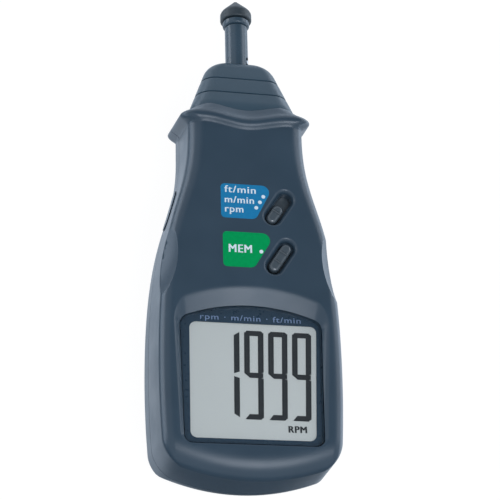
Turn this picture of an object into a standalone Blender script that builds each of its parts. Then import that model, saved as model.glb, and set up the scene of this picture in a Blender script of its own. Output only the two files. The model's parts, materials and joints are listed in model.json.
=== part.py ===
"""Handheld contact tachometer, lying on its back with the contact tip towards +Y.

The display faces +Z, and X runs across the case. Sizes are in millimetres until the mesh helpers
turn them into metres. The origin lies under the middle of the object, on the plane it rests on.
"""

from math import asin, cos, pi, radians, sin, sqrt

import bmesh
import bpy
from mathutils import Matrix, Vector

MM = 0.001

# Lengths along the instrument, from the base of the case to the tip
CASE_LENGTH = 147.0
NOSE_LENGTH = 28.2
SLEEVE_LENGTH = 19.0
COLLAR_LENGTH = 2.5
TIP_SKIRT_LENGTH = 4.6
TIP_CONE_LENGTH = 5.1

# Gap between pieces that touch, and the wider one of pieces that slide
CLEARANCE = 0.3
SLIDE_CLEARANCE = 0.35

# How far a cutter reaches past the outside
FAR = 120.0

# Case
WAIST_WIDTH = 47.0
BASE_TAPER = 1.4
FRONT_DRAFT = 1.5
HIP_FROM_BASE = 46.0
WAIST_FROM_BASE = 137.3
PARTING_HEIGHT = 13.0
WALL = 2.2
CORNER_RADIUS = 7.5
BASE_BOW = 4.8
EDGE_DEPTH = 9.0
EDGE_RISE = 6.0
HEEL_DEPTH = 9.0
HEEL_RISE = 12.0
HIP_EDGE_RADIUS = 3.4
WAIST_EDGE_RADIUS = 6.0
BACK_EDGE_RADIUS = 6.0
LIP_HEIGHT = 1.6
LIP_THICKNESS = 0.9

# Flange round the foot of the nose
RIM_FLARE = 3.2
RIM_RISE = 1.4
RIM_LEAN = 0.17
RIM_DIP = 2.6
FLANGE_RISE = 6.6
END_WALL = 6.9

# Finger scoops on both front edges
SCOOP_FROM_BASE = 86.8
SCOOP_RADIUS = 36.0
SCOOP_HEIGHT = 14.0
SCOOP_WIDTH = 55.2
SCOOP_BACKING_RADIUS = 9.5

# Nose
NOSE_INSET = 2.4
NOSE_FOOT = 4.2
NOSE_TIERS = 3.1
NOSE_NECK_INSET = 2.4
NOSE_NECK_DROP = 0.8
NOSE_SEAT = 3.0
NOSE_DROP = 2.8
NOSE_TOP_WIDTH = 25.0
NOSE_TOP_DEPTH = 14.0
NOSE_ROOT_RADIUS = 8.0
NOSE_TOP_RADIUS = 4.6
NOSE_SHOULDER = 6.0
NOSE_PLATE = 3.2
NOSE_FRONT_WALL = 4.0
PLATE_LEDGE = 1.4
PLATE_RIM = 0.15
GROOVE_WIDTH = 0.7
GROOVE_DEPTH = 0.5

# Spindle and its bearings
SPINDLE_RISE = 0.2
SPINDLE_RADIUS = 2.0
SPINDLE_TAIL_RADIUS = 1.5
JOURNAL_RADIUS = 2.5
BEARING_RADIUS = 6.2
BEARING_WIDTH = 5.0
BEARING_RING = 1.2
SHIELD_THICKNESS = 0.5
SPACER_LENGTH = 3.6
RETAINER_THICKNESS = 1.6
COLLAR_RADIUS = 3.6
DRIVE_PIN_RADIUS = 0.8
DRIVE_PIN_ANGLE = 62.0
DRIVE_PIN_RISE = 2.6

# Contact adapter
SLEEVE_RADIUS = 4.65
STUB_RADIUS = 3.0
NOTCH_WIDTH = 2.8
NOTCH_LENGTH = 5.2
ADAPTER_COLLAR_RADIUS = 5.5
TIP_RADIUS = 6.45
TIP_POINT_RADIUS = 1.1
JOURNAL_LENGTH = 15.6

# Encoder
ENCODER_RADIUS = 10.0
ENCODER_THICKNESS = 0.8
ENCODER_HUB_RADIUS = 3.4
ENCODER_HUB_LENGTH = 4.0
ENCODER_SLOTS = 8
ENCODER_GAP = 5.4
SENSOR_WIDTH = 11.0
SENSOR_LEG = 3.0
SENSOR_SLOT = 3.0

# Display
LENS_FROM_BASE = 12.4
LENS_LENGTH = 53.7
LENS_MARGIN = 9.4
LENS_TAPER = 1.0
LENS_THICKNESS = 1.8
LENS_ARCH_RADIUS = 66.0
LENS_CORNER_RADIUS = 3.0
POCKET_DEPTH = 2.6
POCKET_BASE_DEPTH = 0.25
POCKET_SIDE_RUN = 2.4
POCKET_TOP_RUN = 6.8
LENS_LEDGE = 1.8
LCD_THICKNESS = 2.8
DECK_DROP = 6.3
FACE_ROOM = 14.0
HOLDER_WALL = 1.6
STRIP_WIDTH = 2.6
STRIP_INSET = 2.0

# Circuit board
BOARD_THICKNESS = 1.6
BOARD_INSET = 8.9
BOARD_MARGIN = 2.4
BOARD_SCREW_RADIUS = 1.0
BOARD_BOSS_RADIUS = 2.6
BOARD_SCREW_INSET = 3.6
BOARD_SCREW_LENGTH = 6.0
BOARD_SCREW_PAST_SWITCH = 11.5

# Switches in the front face
SWITCH_INSET = 11.9
SWITCH_ANGLE = 57.0
MODE_FROM_BASE = 106.2
MEMORY_FROM_BASE = 85.8
RECESS_LENGTH = 16.8
RECESS_WIDTH = 7.9
RECESS_DEPTH = 2.8
RECESS_BEVEL = 1.0
FLOOR_THICKNESS = 2.0
KEY_DROP = 0.4
MODE_KNOB_LENGTH = 7.8
KEY_WIDTH = 4.4
MODE_STEP = 2.9
MEMORY_KEY_LENGTH = 13.0
KEY_PLATE = 1.2
KEY_GROOVE = 0.8
PLUNGER_RADIUS = 1.5
PLUNGER_PROUD = 1.6
STEM_WIDTH = 2.6
STEM_THICKNESS = 1.6
KEY_STEM_LENGTH = 2.2
KEY_STEM_WIDTH = 3.2
MODE_BODY_LENGTH = 16.4
MODE_BODY_WIDTH = 6.6
MODE_BODY_DROP = 2.4
MEMORY_BODY_WIDTH = 6.2
MEMORY_TRAVEL = 0.8

# Measuring button in the left side
MEASURE_FROM_BASE = 112.4
MEASURE_LENGTH = 17.0
MEASURE_DEPTH = 9.0
MEASURE_PROUD = 0.5
MEASURE_TRAVEL = 1.0
MEASURE_SWITCH_INSET = 4.0
MEASURE_SWITCH_WIDTH = 6.4
MEASURE_SWITCH_DEPTH = 4.6
MEASURE_PLUNGER_PROUD = 2.0
MEASURE_PLUNGER_SUNK = 2.2

# Batteries and their tray
CELL_RADIUS = 7.25
CELL_LENGTH = 50.0
CELL_PIP_RADIUS = 2.6
CELL_PIP_LENGTH = 1.0
CELL_GAP = 0.4
CELL_COUNT = 4
TRAY_FROM_BASE = 9.8
TRAY_WALL = 1.6
TRAY_ROOF = 2.1
CONTACT_LENGTH = 2.4
CONTACT_PLATE = 0.4
CONTACT_WIDTH = 8.0
SPRING_RADIUS = 3.2
SPRING_WIRE = 0.35
DOOR_THICKNESS = 2.2
DOOR_TONGUE = 1.1
DOOR_REST = 0.8
DOOR_MARGIN = 3.85
GRIP_PITCH = 2.4
GRIP_WIDTH = 1.2
GRIP_LENGTH = 18.0
GRIP_COUNT = 4

# Case screws
SCREW_RADIUS = 1.25
SCREW_HEAD_RADIUS = 2.3
SCREW_HEAD_HEIGHT = 1.8
SCREW_LENGTH = 14.0
SCREW_SINK = 4.0
BOSS_RADIUS = 3.0
SCREW_SHELF = 4.2
TOP_SCREW_INSET = 5.5
TOP_SCREW_SETBACK = 15.1
LOW_SCREW_INSET = 7.0
SCREW_PAST_TRAY = 5.4

# Places that follow from the sizes
FLANGE_TO_TIP = (
    NOSE_LENGTH + CLEARANCE + SLEEVE_LENGTH + CLEARANCE + COLLAR_LENGTH
    + CLEARANCE + TIP_SKIRT_LENGTH + TIP_CONE_LENGTH
)
BASE_Y = -(CASE_LENGTH + FLANGE_TO_TIP) / 2
RIM_Y = BASE_Y + CASE_LENGTH
CAVITY_END_Y = RIM_Y - END_WALL
NOSE_TOP_Y = RIM_Y + NOSE_LENGTH
SLEEVE_Y = NOSE_TOP_Y + CLEARANCE
COLLAR_Y = SLEEVE_Y + SLEEVE_LENGTH + CLEARANCE
TIP_Y = COLLAR_Y + COLLAR_LENGTH + CLEARANCE
APEX_Y = TIP_Y + TIP_SKIRT_LENGTH + TIP_CONE_LENGTH

CELL_PITCH = 2 * CELL_RADIUS + CELL_GAP
CELL_SPAN = (CELL_COUNT - 1) * CELL_PITCH / 2 + CELL_RADIUS
TRAY_HALF_WIDTH = CELL_SPAN + CLEARANCE
TRAY_LOW_Y = BASE_Y + TRAY_FROM_BASE
CELL_LOW_Y = TRAY_LOW_Y + CLEARANCE + CONTACT_LENGTH + CLEARANCE
CELL_HIGH_Y = CELL_LOW_Y + CELL_LENGTH + CELL_PIP_LENGTH
TRAY_HIGH_Y = CELL_HIGH_Y + CLEARANCE + CONTACT_PLATE + CLEARANCE
CELL_HEIGHT = DOOR_THICKNESS + 2 * CLEARANCE + CELL_RADIUS
TRAY_CEILING = CELL_HEIGHT + CELL_RADIUS + CLEARANCE
TRAY_TOP = TRAY_CEILING + TRAY_ROOF
DOOR_HALF_WIDTH = TRAY_HALF_WIDTH + DOOR_REST
DOOR_HIGH_Y = TRAY_HIGH_Y + DOOR_REST

BOARD_HEIGHT = TRAY_TOP + CLEARANCE
BOARD_TOP = BOARD_HEIGHT + BOARD_THICKNESS
BOARD_SEAT = BOARD_TOP + CLEARANCE
FACE_HEIGHT = BOARD_TOP + FACE_ROOM
DECK_HEIGHT = FACE_HEIGHT - DECK_DROP
SPINDLE_HEIGHT = FACE_HEIGHT / 2 + SPINDLE_RISE
CASE_WIDTH = 2 * (DOOR_HALF_WIDTH + DOOR_TONGUE + SLIDE_CLEARANCE + DOOR_MARGIN)
LENS_WIDTH = CASE_WIDTH - 2 * LENS_MARGIN
LENS_BASE_WIDTH = LENS_WIDTH - 2 * LENS_TAPER
BOARD_WIDTH = WAIST_WIDTH - 2 * BOARD_INSET
BOARD_DISPLAY_WIDTH = LENS_WIDTH + 2 * BOARD_MARGIN
SWITCH_X = WAIST_WIDTH / 2 - SWITCH_INSET

NOSE_ROOT_WIDTH = WAIST_WIDTH - 2 * NOSE_INSET
NOSE_ROOT_DEPTH = FACE_HEIGHT - 2 * NOSE_DROP
FRONT_BEARING_Y = NOSE_TOP_Y - NOSE_FRONT_WALL - BEARING_WIDTH
SPACER_Y = FRONT_BEARING_Y - CLEARANCE - SPACER_LENGTH
REAR_BEARING_Y = SPACER_Y - CLEARANCE - BEARING_WIDTH
RETAINER_Y = REAR_BEARING_Y - CLEARANCE - RETAINER_THICKNESS
NECK_END_Y = CAVITY_END_Y + NOSE_SEAT
NOSE_CAVITY_END_Y = RETAINER_Y
SEAT_RADIUS = BEARING_RADIUS + CLEARANCE
PLATE_FRONT_Y = CAVITY_END_Y - CLEARANCE
PLATE_BACK_Y = PLATE_FRONT_Y - NOSE_PLATE
ENCODER_Y = PLATE_BACK_Y - ENCODER_GAP
JOURNAL_END_Y = SLEEVE_Y + JOURNAL_LENGTH

LENS_LOW_Y = BASE_Y + LENS_FROM_BASE
LENS_HIGH_Y = LENS_LOW_Y + LENS_LENGTH
LENS_MIDDLE_Y = (LENS_LOW_Y + LENS_HIGH_Y) / 2
LENS_TOP_HEIGHT = FACE_HEIGHT - POCKET_DEPTH
LENS_BASE_HEIGHT = FACE_HEIGHT - POCKET_BASE_DEPTH
LENS_TILT = asin((LENS_BASE_HEIGHT - LENS_TOP_HEIGHT) / LENS_LENGTH)
LENS_HEIGHT = (LENS_TOP_HEIGHT + LENS_BASE_HEIGHT) / 2

WELL_BOTTOM = FACE_HEIGHT - RECESS_DEPTH - FLOOR_THICKNESS
PLATE_TOP = WELL_BOTTOM - CLEARANCE
PLATE_BOTTOM = PLATE_TOP - KEY_PLATE
KEY_TOP = FACE_HEIGHT - KEY_DROP
MODE_Y = BASE_Y + MODE_FROM_BASE
MEMORY_Y = BASE_Y + MEMORY_FROM_BASE
MODE_TRAVEL = 2 * MODE_STEP
MEASURE_Y = BASE_Y + MEASURE_FROM_BASE

SCREW_JOINT_HEIGHT = SCREW_SINK + SCREW_HEAD_HEIGHT + SCREW_SHELF
TOP_SCREW_X = WAIST_WIDTH / 2 - TOP_SCREW_INSET
TOP_SCREW_Y = CAVITY_END_Y - TOP_SCREW_SETBACK
LOW_SCREW_X = CASE_WIDTH / 2 - LOW_SCREW_INSET
LOW_SCREW_Y = TRAY_HIGH_Y + SCREW_PAST_TRAY
SCREW_PLACES = (
    (-TOP_SCREW_X, TOP_SCREW_Y), (TOP_SCREW_X, TOP_SCREW_Y), (-LOW_SCREW_X, LOW_SCREW_Y), (LOW_SCREW_X, LOW_SCREW_Y),
)
BOARD_SCREW_X = BOARD_WIDTH / 2 - BOARD_SCREW_INSET
BOARD_SCREW_PLACES = (
    (-BOARD_SCREW_X, LOW_SCREW_Y), (BOARD_SCREW_X, LOW_SCREW_Y), (0.0, MODE_Y + BOARD_SCREW_PAST_SWITCH),
)


# Collections and materials

def remove_everything():
    for item in list(bpy.data.objects):
        bpy.data.objects.remove(item, do_unlink=True)


def new_collection(name):
    collection = bpy.data.collections.new(name)
    bpy.context.scene.collection.children.link(collection)
    return collection


remove_everything()
PARTS = new_collection("contact_tachometer")
CUTTERS = new_collection("cutters")


def new_material(name, colour, roughness, metallic=0.0, alpha=1.0):
    material = bpy.data.materials.new(name)
    material.use_nodes = True
    shader = material.node_tree.nodes["Principled BSDF"]
    shader.inputs["Base Color"].default_value = (*colour, 1.0)
    shader.inputs["Roughness"].default_value = roughness
    shader.inputs["Metallic"].default_value = metallic
    shader.inputs["Alpha"].default_value = alpha
    return material


CASE_PLASTIC = new_material("case_plastic", (0.035, 0.062, 0.088), 0.38)
KEY_PLASTIC = new_material("key_plastic", (0.045, 0.060, 0.072), 0.45)
ADAPTER_PLASTIC = new_material("adapter_plastic", (0.060, 0.095, 0.125), 0.30)
TIP_RUBBER = new_material("tip_rubber", (0.020, 0.032, 0.040), 0.85)
LENS_ACRYLIC = new_material("lens_acrylic", (0.85, 0.90, 0.92), 0.08, alpha=0.35)
LCD_GLASS = new_material("lcd_glass", (0.42, 0.47, 0.46), 0.25)
INNER_PLASTIC = new_material("inner_plastic", (0.60, 0.60, 0.56), 0.50)
BOARD_LAMINATE = new_material("board_laminate", (0.020, 0.160, 0.070), 0.45)
STEEL = new_material("steel", (0.56, 0.57, 0.58), 0.30, metallic=1.0)
CELL_JACKET = new_material("cell_jacket", (0.10, 0.11, 0.12), 0.35, metallic=0.6)


# Mesh helpers

def mesh_object(name, mesh, material=None, collection=None):
    item = bpy.data.objects.new(name, mesh)
    (collection or PARTS).objects.link(item)
    if material:
        mesh.materials.append(material)
    if collection is CUTTERS:
        item.hide_render = True
        item.display_type = "WIRE"
    return item


def cutter(item):
    """Moves a piece among the cutters, which are shown as wires and never built."""
    for collection in list(item.users_collection):
        collection.objects.unlink(item)
    CUTTERS.objects.link(item)
    item.hide_render = True
    item.display_type = "WIRE"
    return item


def from_bmesh(name, bm, material=None):
    bmesh.ops.recalc_face_normals(bm, faces=bm.faces)
    mesh = bpy.data.meshes.new(name)
    bm.to_mesh(mesh)
    bm.free()
    return mesh_object(name, mesh, material)


def block(name, low, high, material=None):
    """A box between two corners."""
    bm = bmesh.new()
    bmesh.ops.create_cube(bm, size=1.0)
    size = [(b - a) * MM for a, b in zip(low, high)]
    middle = [(a + b) / 2 * MM for a, b in zip(low, high)]
    bmesh.ops.scale(bm, vec=size, verts=bm.verts)
    bmesh.ops.translate(bm, vec=middle, verts=bm.verts)
    return from_bmesh(name, bm, material)


def rod(name, radius, start, end, material=None, segments=20):
    """A cylinder from one point to another."""
    first, last = Vector(start) * MM, Vector(end) * MM
    along = last - first
    bm = bmesh.new()
    bmesh.ops.create_cone(
        bm, cap_ends=True, segments=segments, radius1=radius * MM, radius2=radius * MM, depth=along.length
    )
    turn = Vector((0, 0, 1)).rotation_difference(along).to_matrix().to_4x4()
    bmesh.ops.transform(bm, matrix=Matrix.Translation((first + last) / 2) @ turn, verts=bm.verts)
    return from_bmesh(name, bm, material)


def turned(name, profile, material=None, segments=24, closed=True):
    """A turned piece on the spindle axis, from (radius, y) points that run down its outer side.

    A ring's profile closes on itself. A solid bar's starts and ends on the axis.
    """
    bm = bmesh.new()
    points = [bm.verts.new((r * MM, 0, y * MM)) for r, y in profile]
    for a, b in zip(points, points[1:]):
        bm.edges.new((a, b))
    if closed:
        bm.edges.new((points[-1], points[0]))
    mesh = bpy.data.meshes.new(name)
    bm.to_mesh(mesh)
    bm.free()
    item = mesh_object(name, mesh, material)
    screw = item.modifiers.new("turn", "SCREW")
    screw.steps = segments
    screw.render_steps = segments
    screw.use_merge_vertices = True
    screw.merge_threshold = 0.00001
    item.rotation_euler = (-pi / 2, 0, 0)
    item.location = (0, 0, SPINDLE_HEIGHT * MM)
    return item


def loft(name, rings, material=None, edge_steps=None):
    """A closed skin over rings of equal count. With edge_steps the ends are filled as bowed strips."""
    bm = bmesh.new()
    rows = [[bm.verts.new(Vector(p) * MM) for p in ring] for ring in rings]
    count = len(rows[0])
    for lower, upper in zip(rows, rows[1:]):
        for i in range(count):
            j = (i + 1) % count
            bm.faces.new((lower[i], lower[j], upper[j], upper[i]))
    for row in (rows[0], rows[-1]):
        if edge_steps is None:
            bm.faces.new(row)
            continue
        front = count // 2
        for k in range(edge_steps):
            far = front + edge_steps - k
            bm.faces.new((row[k], row[k + 1], row[far - 1], row[far]))
        bm.faces.new(row[edge_steps:front + 1])
        bm.faces.new(row[front + edge_steps:] + row[:1])
    return from_bmesh(name, bm, material)


def plate(name, outline, low, high, material=None):
    """A flat piece with the given outline, made as a filled curve and welded into a mesh."""
    curve = bpy.data.curves.new(name, "CURVE")
    curve.dimensions = "2D"
    curve.fill_mode = "BOTH"
    curve.extrude = (high - low) / 2 * MM
    spline = curve.splines.new("POLY")
    spline.points.add(len(outline) - 1)
    for point, (x, y) in zip(spline.points, outline):
        point.co = (x * MM, y * MM, 0, 1)
    spline.use_cyclic_u = True
    source = bpy.data.objects.new(name, curve)
    PARTS.objects.link(source)
    bpy.context.view_layer.update()
    mesh = bpy.data.meshes.new_from_object(source.evaluated_get(bpy.context.evaluated_depsgraph_get()))
    bpy.data.objects.remove(source, do_unlink=True)
    bpy.data.curves.remove(curve)
    bm = bmesh.new()
    bm.from_mesh(mesh)
    bpy.data.meshes.remove(mesh)
    bmesh.ops.remove_doubles(bm, verts=bm.verts, dist=0.000001)
    bmesh.ops.translate(bm, vec=(0, 0, (low + high) / 2 * MM), verts=bm.verts)
    return from_bmesh(name, bm, material)


def boolean(item, tool, operation):
    modifier = item.modifiers.new(tool.name, "BOOLEAN")
    modifier.operation = operation
    modifier.solver = "EXACT"
    modifier.object = cutter(tool)
    return item


def cut(item, *tools):
    for tool in tools:
        boolean(item, tool, "DIFFERENCE")
    return item


def join(item, *tools):
    for tool in tools:
        boolean(item, tool, "UNION")
    return item


def keep(item, tool):
    return boolean(item, tool, "INTERSECT")


def bevel(item, width, segments=2, angle=40.0):
    modifier = item.modifiers.new("edges", "BEVEL")
    modifier.width = width * MM
    modifier.segments = segments
    modifier.limit_method = "ANGLE"
    modifier.angle_limit = radians(angle)
    return item


def merged(name, items):
    """One cutter that holds several separate shapes."""
    bm = bmesh.new()
    for item in items:
        bm.from_mesh(item.data)
        bpy.data.objects.remove(item, do_unlink=True)
    return from_bmesh(name, bm)


def moved(item, matrix):
    item.data.transform(matrix)
    return item


def set_origin(item, point):
    """Puts the object's origin on its joint's axis without moving its shape."""
    place = Vector(point) * MM
    item.data.transform(Matrix.Translation(-place))
    item.location = place
    return item


def smooth(item, angle=35.0):
    item.data.shade_smooth()
    item.data.set_sharp_from_angle(angle=radians(angle))
    return item


# Curves that the case follows, and the facets across each rounded edge and flat face

ARC_STEPS = 4
EDGE_STEPS = 6


def ease(t):
    """Runs smoothly from 0 to 1."""
    t = min(1.0, max(0.0, t))
    return t * t * (3 - 2 * t)


def bezier(a, b, c, d, t):
    return a * (1 - t) ** 3 + 3 * b * t * (1 - t) ** 2 + 3 * c * t * t * (1 - t) + d * t ** 3


def end_inset(distance, depth, rise):
    """How far a quarter-ellipse edge draws in at a distance from the end."""
    if distance >= depth:
        return 0.0
    return rise * (1 - sqrt(1 - ((depth - distance) / depth) ** 2))


def case_half_width(y):
    """The case's outline from above: slim at the waist, fullest at the hip, a little narrower at its base."""
    hip, waist = BASE_Y + HIP_FROM_BASE, BASE_Y + WAIST_FROM_BASE
    slim, full = WAIST_WIDTH / 2, CASE_WIDTH / 2
    if y >= waist:
        return slim
    if y <= hip:
        return full - BASE_TAPER * ((hip - y) / (HIP_FROM_BASE - CORNER_RADIUS * 1.7)) ** 2
    span = waist - hip
    low, high = 0.0, 1.0
    for _ in range(30):
        t = (low + high) / 2
        if bezier(waist, waist - 0.33 * span, hip + 0.68 * span, hip, t) > y:
            low = t
        else:
            high = t
    return bezier(slim, slim, full, full, low)


def rounded_ring(half_width, back, front, back_radius, front_radius, arc_steps, edge_steps, draft=0.0):
    """An upright section as (x, z) points: back edge, right side with its draft, front edge, left side."""
    points = []
    flat = half_width - back_radius
    for k in range(edge_steps + 1):
        points.append((-flat + 2 * flat * k / edge_steps, back))
    for k in range(1, arc_steps + 1):
        turn = pi / 2 * k / arc_steps
        points.append((flat + back_radius * sin(turn), back + back_radius * (1 - cos(turn))))
    flat = half_width - draft - front_radius
    for k in range(arc_steps):
        turn = pi / 2 * k / arc_steps
        points.append((flat + front_radius * cos(turn), front - front_radius * (1 - sin(turn))))
    left = [(-x, z) for x, z in reversed(points[edge_steps + 1:])]
    for k in range(edge_steps + 1):
        points.append((flat - 2 * flat * k / edge_steps, front))
    return points + left


# Flare and rise of the flange at steps along it, as shares of the rim's own
FLANGE_STEPS = (
    (-2.9, 0.0), (-1.9, 0.18), (-1.1, 0.48), (-0.5, 0.8), (0.1, 1.0), (0.9, 0.95), (1.8, 0.62), (3.5, -0.25),
    (FLANGE_RISE, -1.5),
)


def flange_share(y):
    """The flange's outline where it stands out of the case and draws in to the nose."""
    along = y - RIM_Y
    if along <= FLANGE_STEPS[0][0]:
        return 0.0
    for (a, low), (b, high) in zip(FLANGE_STEPS, FLANGE_STEPS[1:]):
        if along <= b:
            return low + (high - low) * (along - a) / (b - a)
    return FLANGE_STEPS[-1][1]


def case_ring(y, grow=0.0, front_limit=None, arc_steps=ARC_STEPS, edge_steps=EDGE_STEPS, least_radius=0.8):
    """A section of the case, offset outwards by grow, leaning at the flange and bowed at the base."""
    distance = y - (BASE_Y - grow)
    bow = BASE_BOW / (CASE_WIDTH / 2 - CORNER_RADIUS) ** 2 * 1.1 * ease((25 - distance) / 17)
    share = flange_share(y)
    side = y + bow * (CASE_WIDTH / 2 - 2) ** 2
    corner = CORNER_RADIUS + grow
    half_width = case_half_width(side) + grow + RIM_FLARE * share - end_inset(distance, corner, corner)
    drop = end_inset(distance, EDGE_DEPTH + grow, EDGE_RISE + grow)
    front = FACE_HEIGHT + grow + RIM_RISE * share - drop
    if front_limit is not None:
        front = min(front, front_limit)
    lift = end_inset(distance, HEEL_DEPTH + grow, HEEL_RISE + grow)
    back = -grow + lift - min(0.0, share) * 1.4
    blend = ease((y - MEMORY_Y) / (MODE_Y + 10 - MEMORY_Y))
    radius = HIP_EDGE_RADIUS + (WAIST_EDGE_RADIUS - HIP_EDGE_RADIUS) * blend
    front_radius = max(least_radius, radius + grow - drop)
    back_radius = max(0.8, BACK_EDGE_RADIUS + grow - lift)
    draft = FRONT_DRAFT * (half_width / (CASE_WIDTH / 2)) ** 2
    near = ease((y - (RIM_Y - 14)) / 12)
    ring = rounded_ring(half_width, back, front, back_radius, front_radius, arc_steps, edge_steps, draft)
    return [(x, y + bow * x * x - near * rim_lean(x, z), z) for x, z in ring]


def rim_lean(x, z):
    """How far the flange leans towards the base, and how far its front dips in the middle."""
    across = min(1.0, abs(x) / (WAIST_WIDTH * 0.36))
    dip = RIM_DIP * (1 - ease(across)) if z > SPINDLE_HEIGHT else 0.0
    return RIM_LEAN * (z - SPINDLE_HEIGHT) + dip


def case_stations(end, grow, step):
    """Where the case's sections lie: close together at the base and even along its length."""
    base = BASE_Y - grow
    close = [base + d for d in (0.0, 0.35, 1.1, 2.3, 4.0, 6.2, 9.0, 13.0, 18.5, 25.0)]
    count = round((end - close[-1]) / step)
    return close + [close[-1] + (end - close[-1]) * k / count for k in range(1, count + 1)]


def case_solid(name, grow, end, step=8.0, arc_steps=ARC_STEPS, edge_steps=EDGE_STEPS):
    rings = [case_ring(y, grow, None, arc_steps, edge_steps) for y in case_stations(end, grow, step)]
    return loft(name, rings, edge_steps=edge_steps)


def outer_case(name, material=None):
    """The whole outside of the case with its flange, before it is hollowed and split."""
    start = RIM_Y + FLANGE_STEPS[0][0]
    stations = case_stations(start, 0.0, 8.4) + [RIM_Y + along for along, _ in FLANGE_STEPS[1:]]
    item = loft(name, [case_ring(y) for y in stations], material, edge_steps=EDGE_STEPS)
    return smooth(item)


def case_cavity(name):
    """The hollow inside the walls, with a lower ceiling under the display."""
    deck_end = LENS_HIGH_Y + POCKET_TOP_RUN
    low = case_stations(deck_end - 4, -WALL, 12.0)
    high = [deck_end + (CAVITY_END_Y - deck_end) * k / 6 for k in range(7)]
    rings = [case_ring(y, -WALL, DECK_HEIGHT, 3, 2) for y in low]
    backed = BASE_Y + SCOOP_FROM_BASE + 24
    for y in high:
        backing = SCOOP_BACKING_RADIUS if y < backed else 0.8
        rings.append(case_ring(y, -WALL, None, 3, 2, backing))
    level = [[(x, min(py, CAVITY_END_Y), z) for x, py, z in ring] for ring in rings[:-1]]
    level.append([(x, CAVITY_END_Y, z) for x, _, z in rings[-1]])
    return loft(name, level, edge_steps=2)


def offset_slab(name, grow, low, high):
    """A slice of the case's outline, offset by grow, between two heights."""
    item = case_solid(name, grow, CAVITY_END_Y + WALL + grow, step=10.0, arc_steps=2, edge_steps=2)
    return keep(item, block(name + "_band", (-FAR, BASE_Y - FAR, low), (FAR, RIM_Y + FAR, high)))


# Nose

def nose_half_sizes(y):
    """Half the nose's width and depth: straight in the case, then tapering to its top."""
    t = min(1.0, max(0.0, (y - (RIM_Y + NOSE_FOOT)) / (NOSE_LENGTH - NOSE_FOOT)))
    width = NOSE_ROOT_WIDTH / 2 + (NOSE_TOP_WIDTH - NOSE_ROOT_WIDTH) / 2 * t
    depth = NOSE_ROOT_DEPTH / 2 + (NOSE_TOP_DEPTH - NOSE_ROOT_DEPTH) / 2 * t
    radius = NOSE_ROOT_RADIUS + (NOSE_TOP_RADIUS - NOSE_ROOT_RADIUS) * t
    return width, depth, radius


def nose_ring(y, grow=0.0, arc_steps=ARC_STEPS, ledge=0.0, neck=False):
    """A section of the nose or its neck, offset outwards by grow and widened at its sides by a ledge."""
    width, depth, radius = nose_half_sizes(y)
    if neck:
        width -= NOSE_NECK_INSET
        depth -= NOSE_NECK_DROP
    top = NOSE_TOP_Y - y
    width += grow + ledge - end_inset(top, NOSE_SHOULDER, NOSE_SHOULDER * 0.9)
    depth += grow - end_inset(top, NOSE_SHOULDER * 0.6, 2.4)
    radius = max(1.0, min(radius + grow, depth - 0.4, width - 0.4))
    ring = rounded_ring(width, SPINDLE_HEIGHT - depth, SPINDLE_HEIGHT + depth, radius, radius, arc_steps, 2)
    return [(x, y, z) for x, z in ring]


def nose_outline_stations():
    foot = RIM_Y + NOSE_FOOT
    tier = (NOSE_LENGTH - NOSE_FOOT) / NOSE_TIERS
    stations = [(foot - 2.2, 0.0), (foot, 0.0), (foot + 2.2, 0.0)]
    for groove in (foot - 1.3 + tier, foot - 1.3 + 2 * tier):
        half = GROOVE_WIDTH / 2
        stations += [
            (groove - half, 0.0), (groove - half * 0.4, -GROOVE_DEPTH), (groove + half * 0.4, -GROOVE_DEPTH),
            (groove + half, 0.0),
        ]
    top = [(NOSE_TOP_Y - d, 0.0) for d in (NOSE_SHOULDER, 3.8, 2.2, 1.0, 0.3, 0.0)]
    return stations + top


def build_nose():
    rim = PLATE_RIM
    seat = NECK_END_Y + CLEARANCE
    rings = [nose_ring(y, rim, ledge=PLATE_LEDGE, neck=True) for y in (PLATE_BACK_Y, PLATE_FRONT_Y)]
    rings += [nose_ring(PLATE_FRONT_Y, neck=True), nose_ring(seat, neck=True), nose_ring(seat)]
    rings += [nose_ring(y, grow) for y, grow in nose_outline_stations()]
    item = smooth(loft("nose_cone", rings, CASE_PLASTIC, edge_steps=2))
    hollow = [nose_ring(PLATE_BACK_Y - 2, -WALL, 3, neck=True), nose_ring(seat, -WALL, 3, neck=True)]
    hollow.append(nose_ring(RIM_Y + NOSE_FOOT, -WALL, 3))
    hollow.append(nose_ring(NOSE_CAVITY_END_Y, -WALL, 3))
    axis = SPINDLE_HEIGHT
    cut(item, loft("nose_hollow", hollow, edge_steps=2))
    cut(item, rod("bearing_seat", SEAT_RADIUS, (0, NOSE_CAVITY_END_Y - 1, axis),
                  (0, FRONT_BEARING_Y + BEARING_WIDTH + CLEARANCE, axis), segments=28))
    cut(item, rod("spindle_hole", JOURNAL_RADIUS + CLEARANCE, (0, FRONT_BEARING_Y, axis),
                  (0, NOSE_TOP_Y + 2, axis), segments=20))
    return item


def nose_hole(name):
    """The opening in the flange that the nose passes through."""
    rings = [nose_ring(y, CLEARANCE, 4, neck=True) for y in (CAVITY_END_Y - 3, NECK_END_Y)]
    rings += [nose_ring(y, CLEARANCE, 4) for y in (NECK_END_Y, RIM_Y + 2)]
    rings += [[(x, RIM_Y + FAR, z) for x, _, z in rings[-1]]]
    return loft(name, rings, edge_steps=2)


# Spindle and contact adapter

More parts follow.
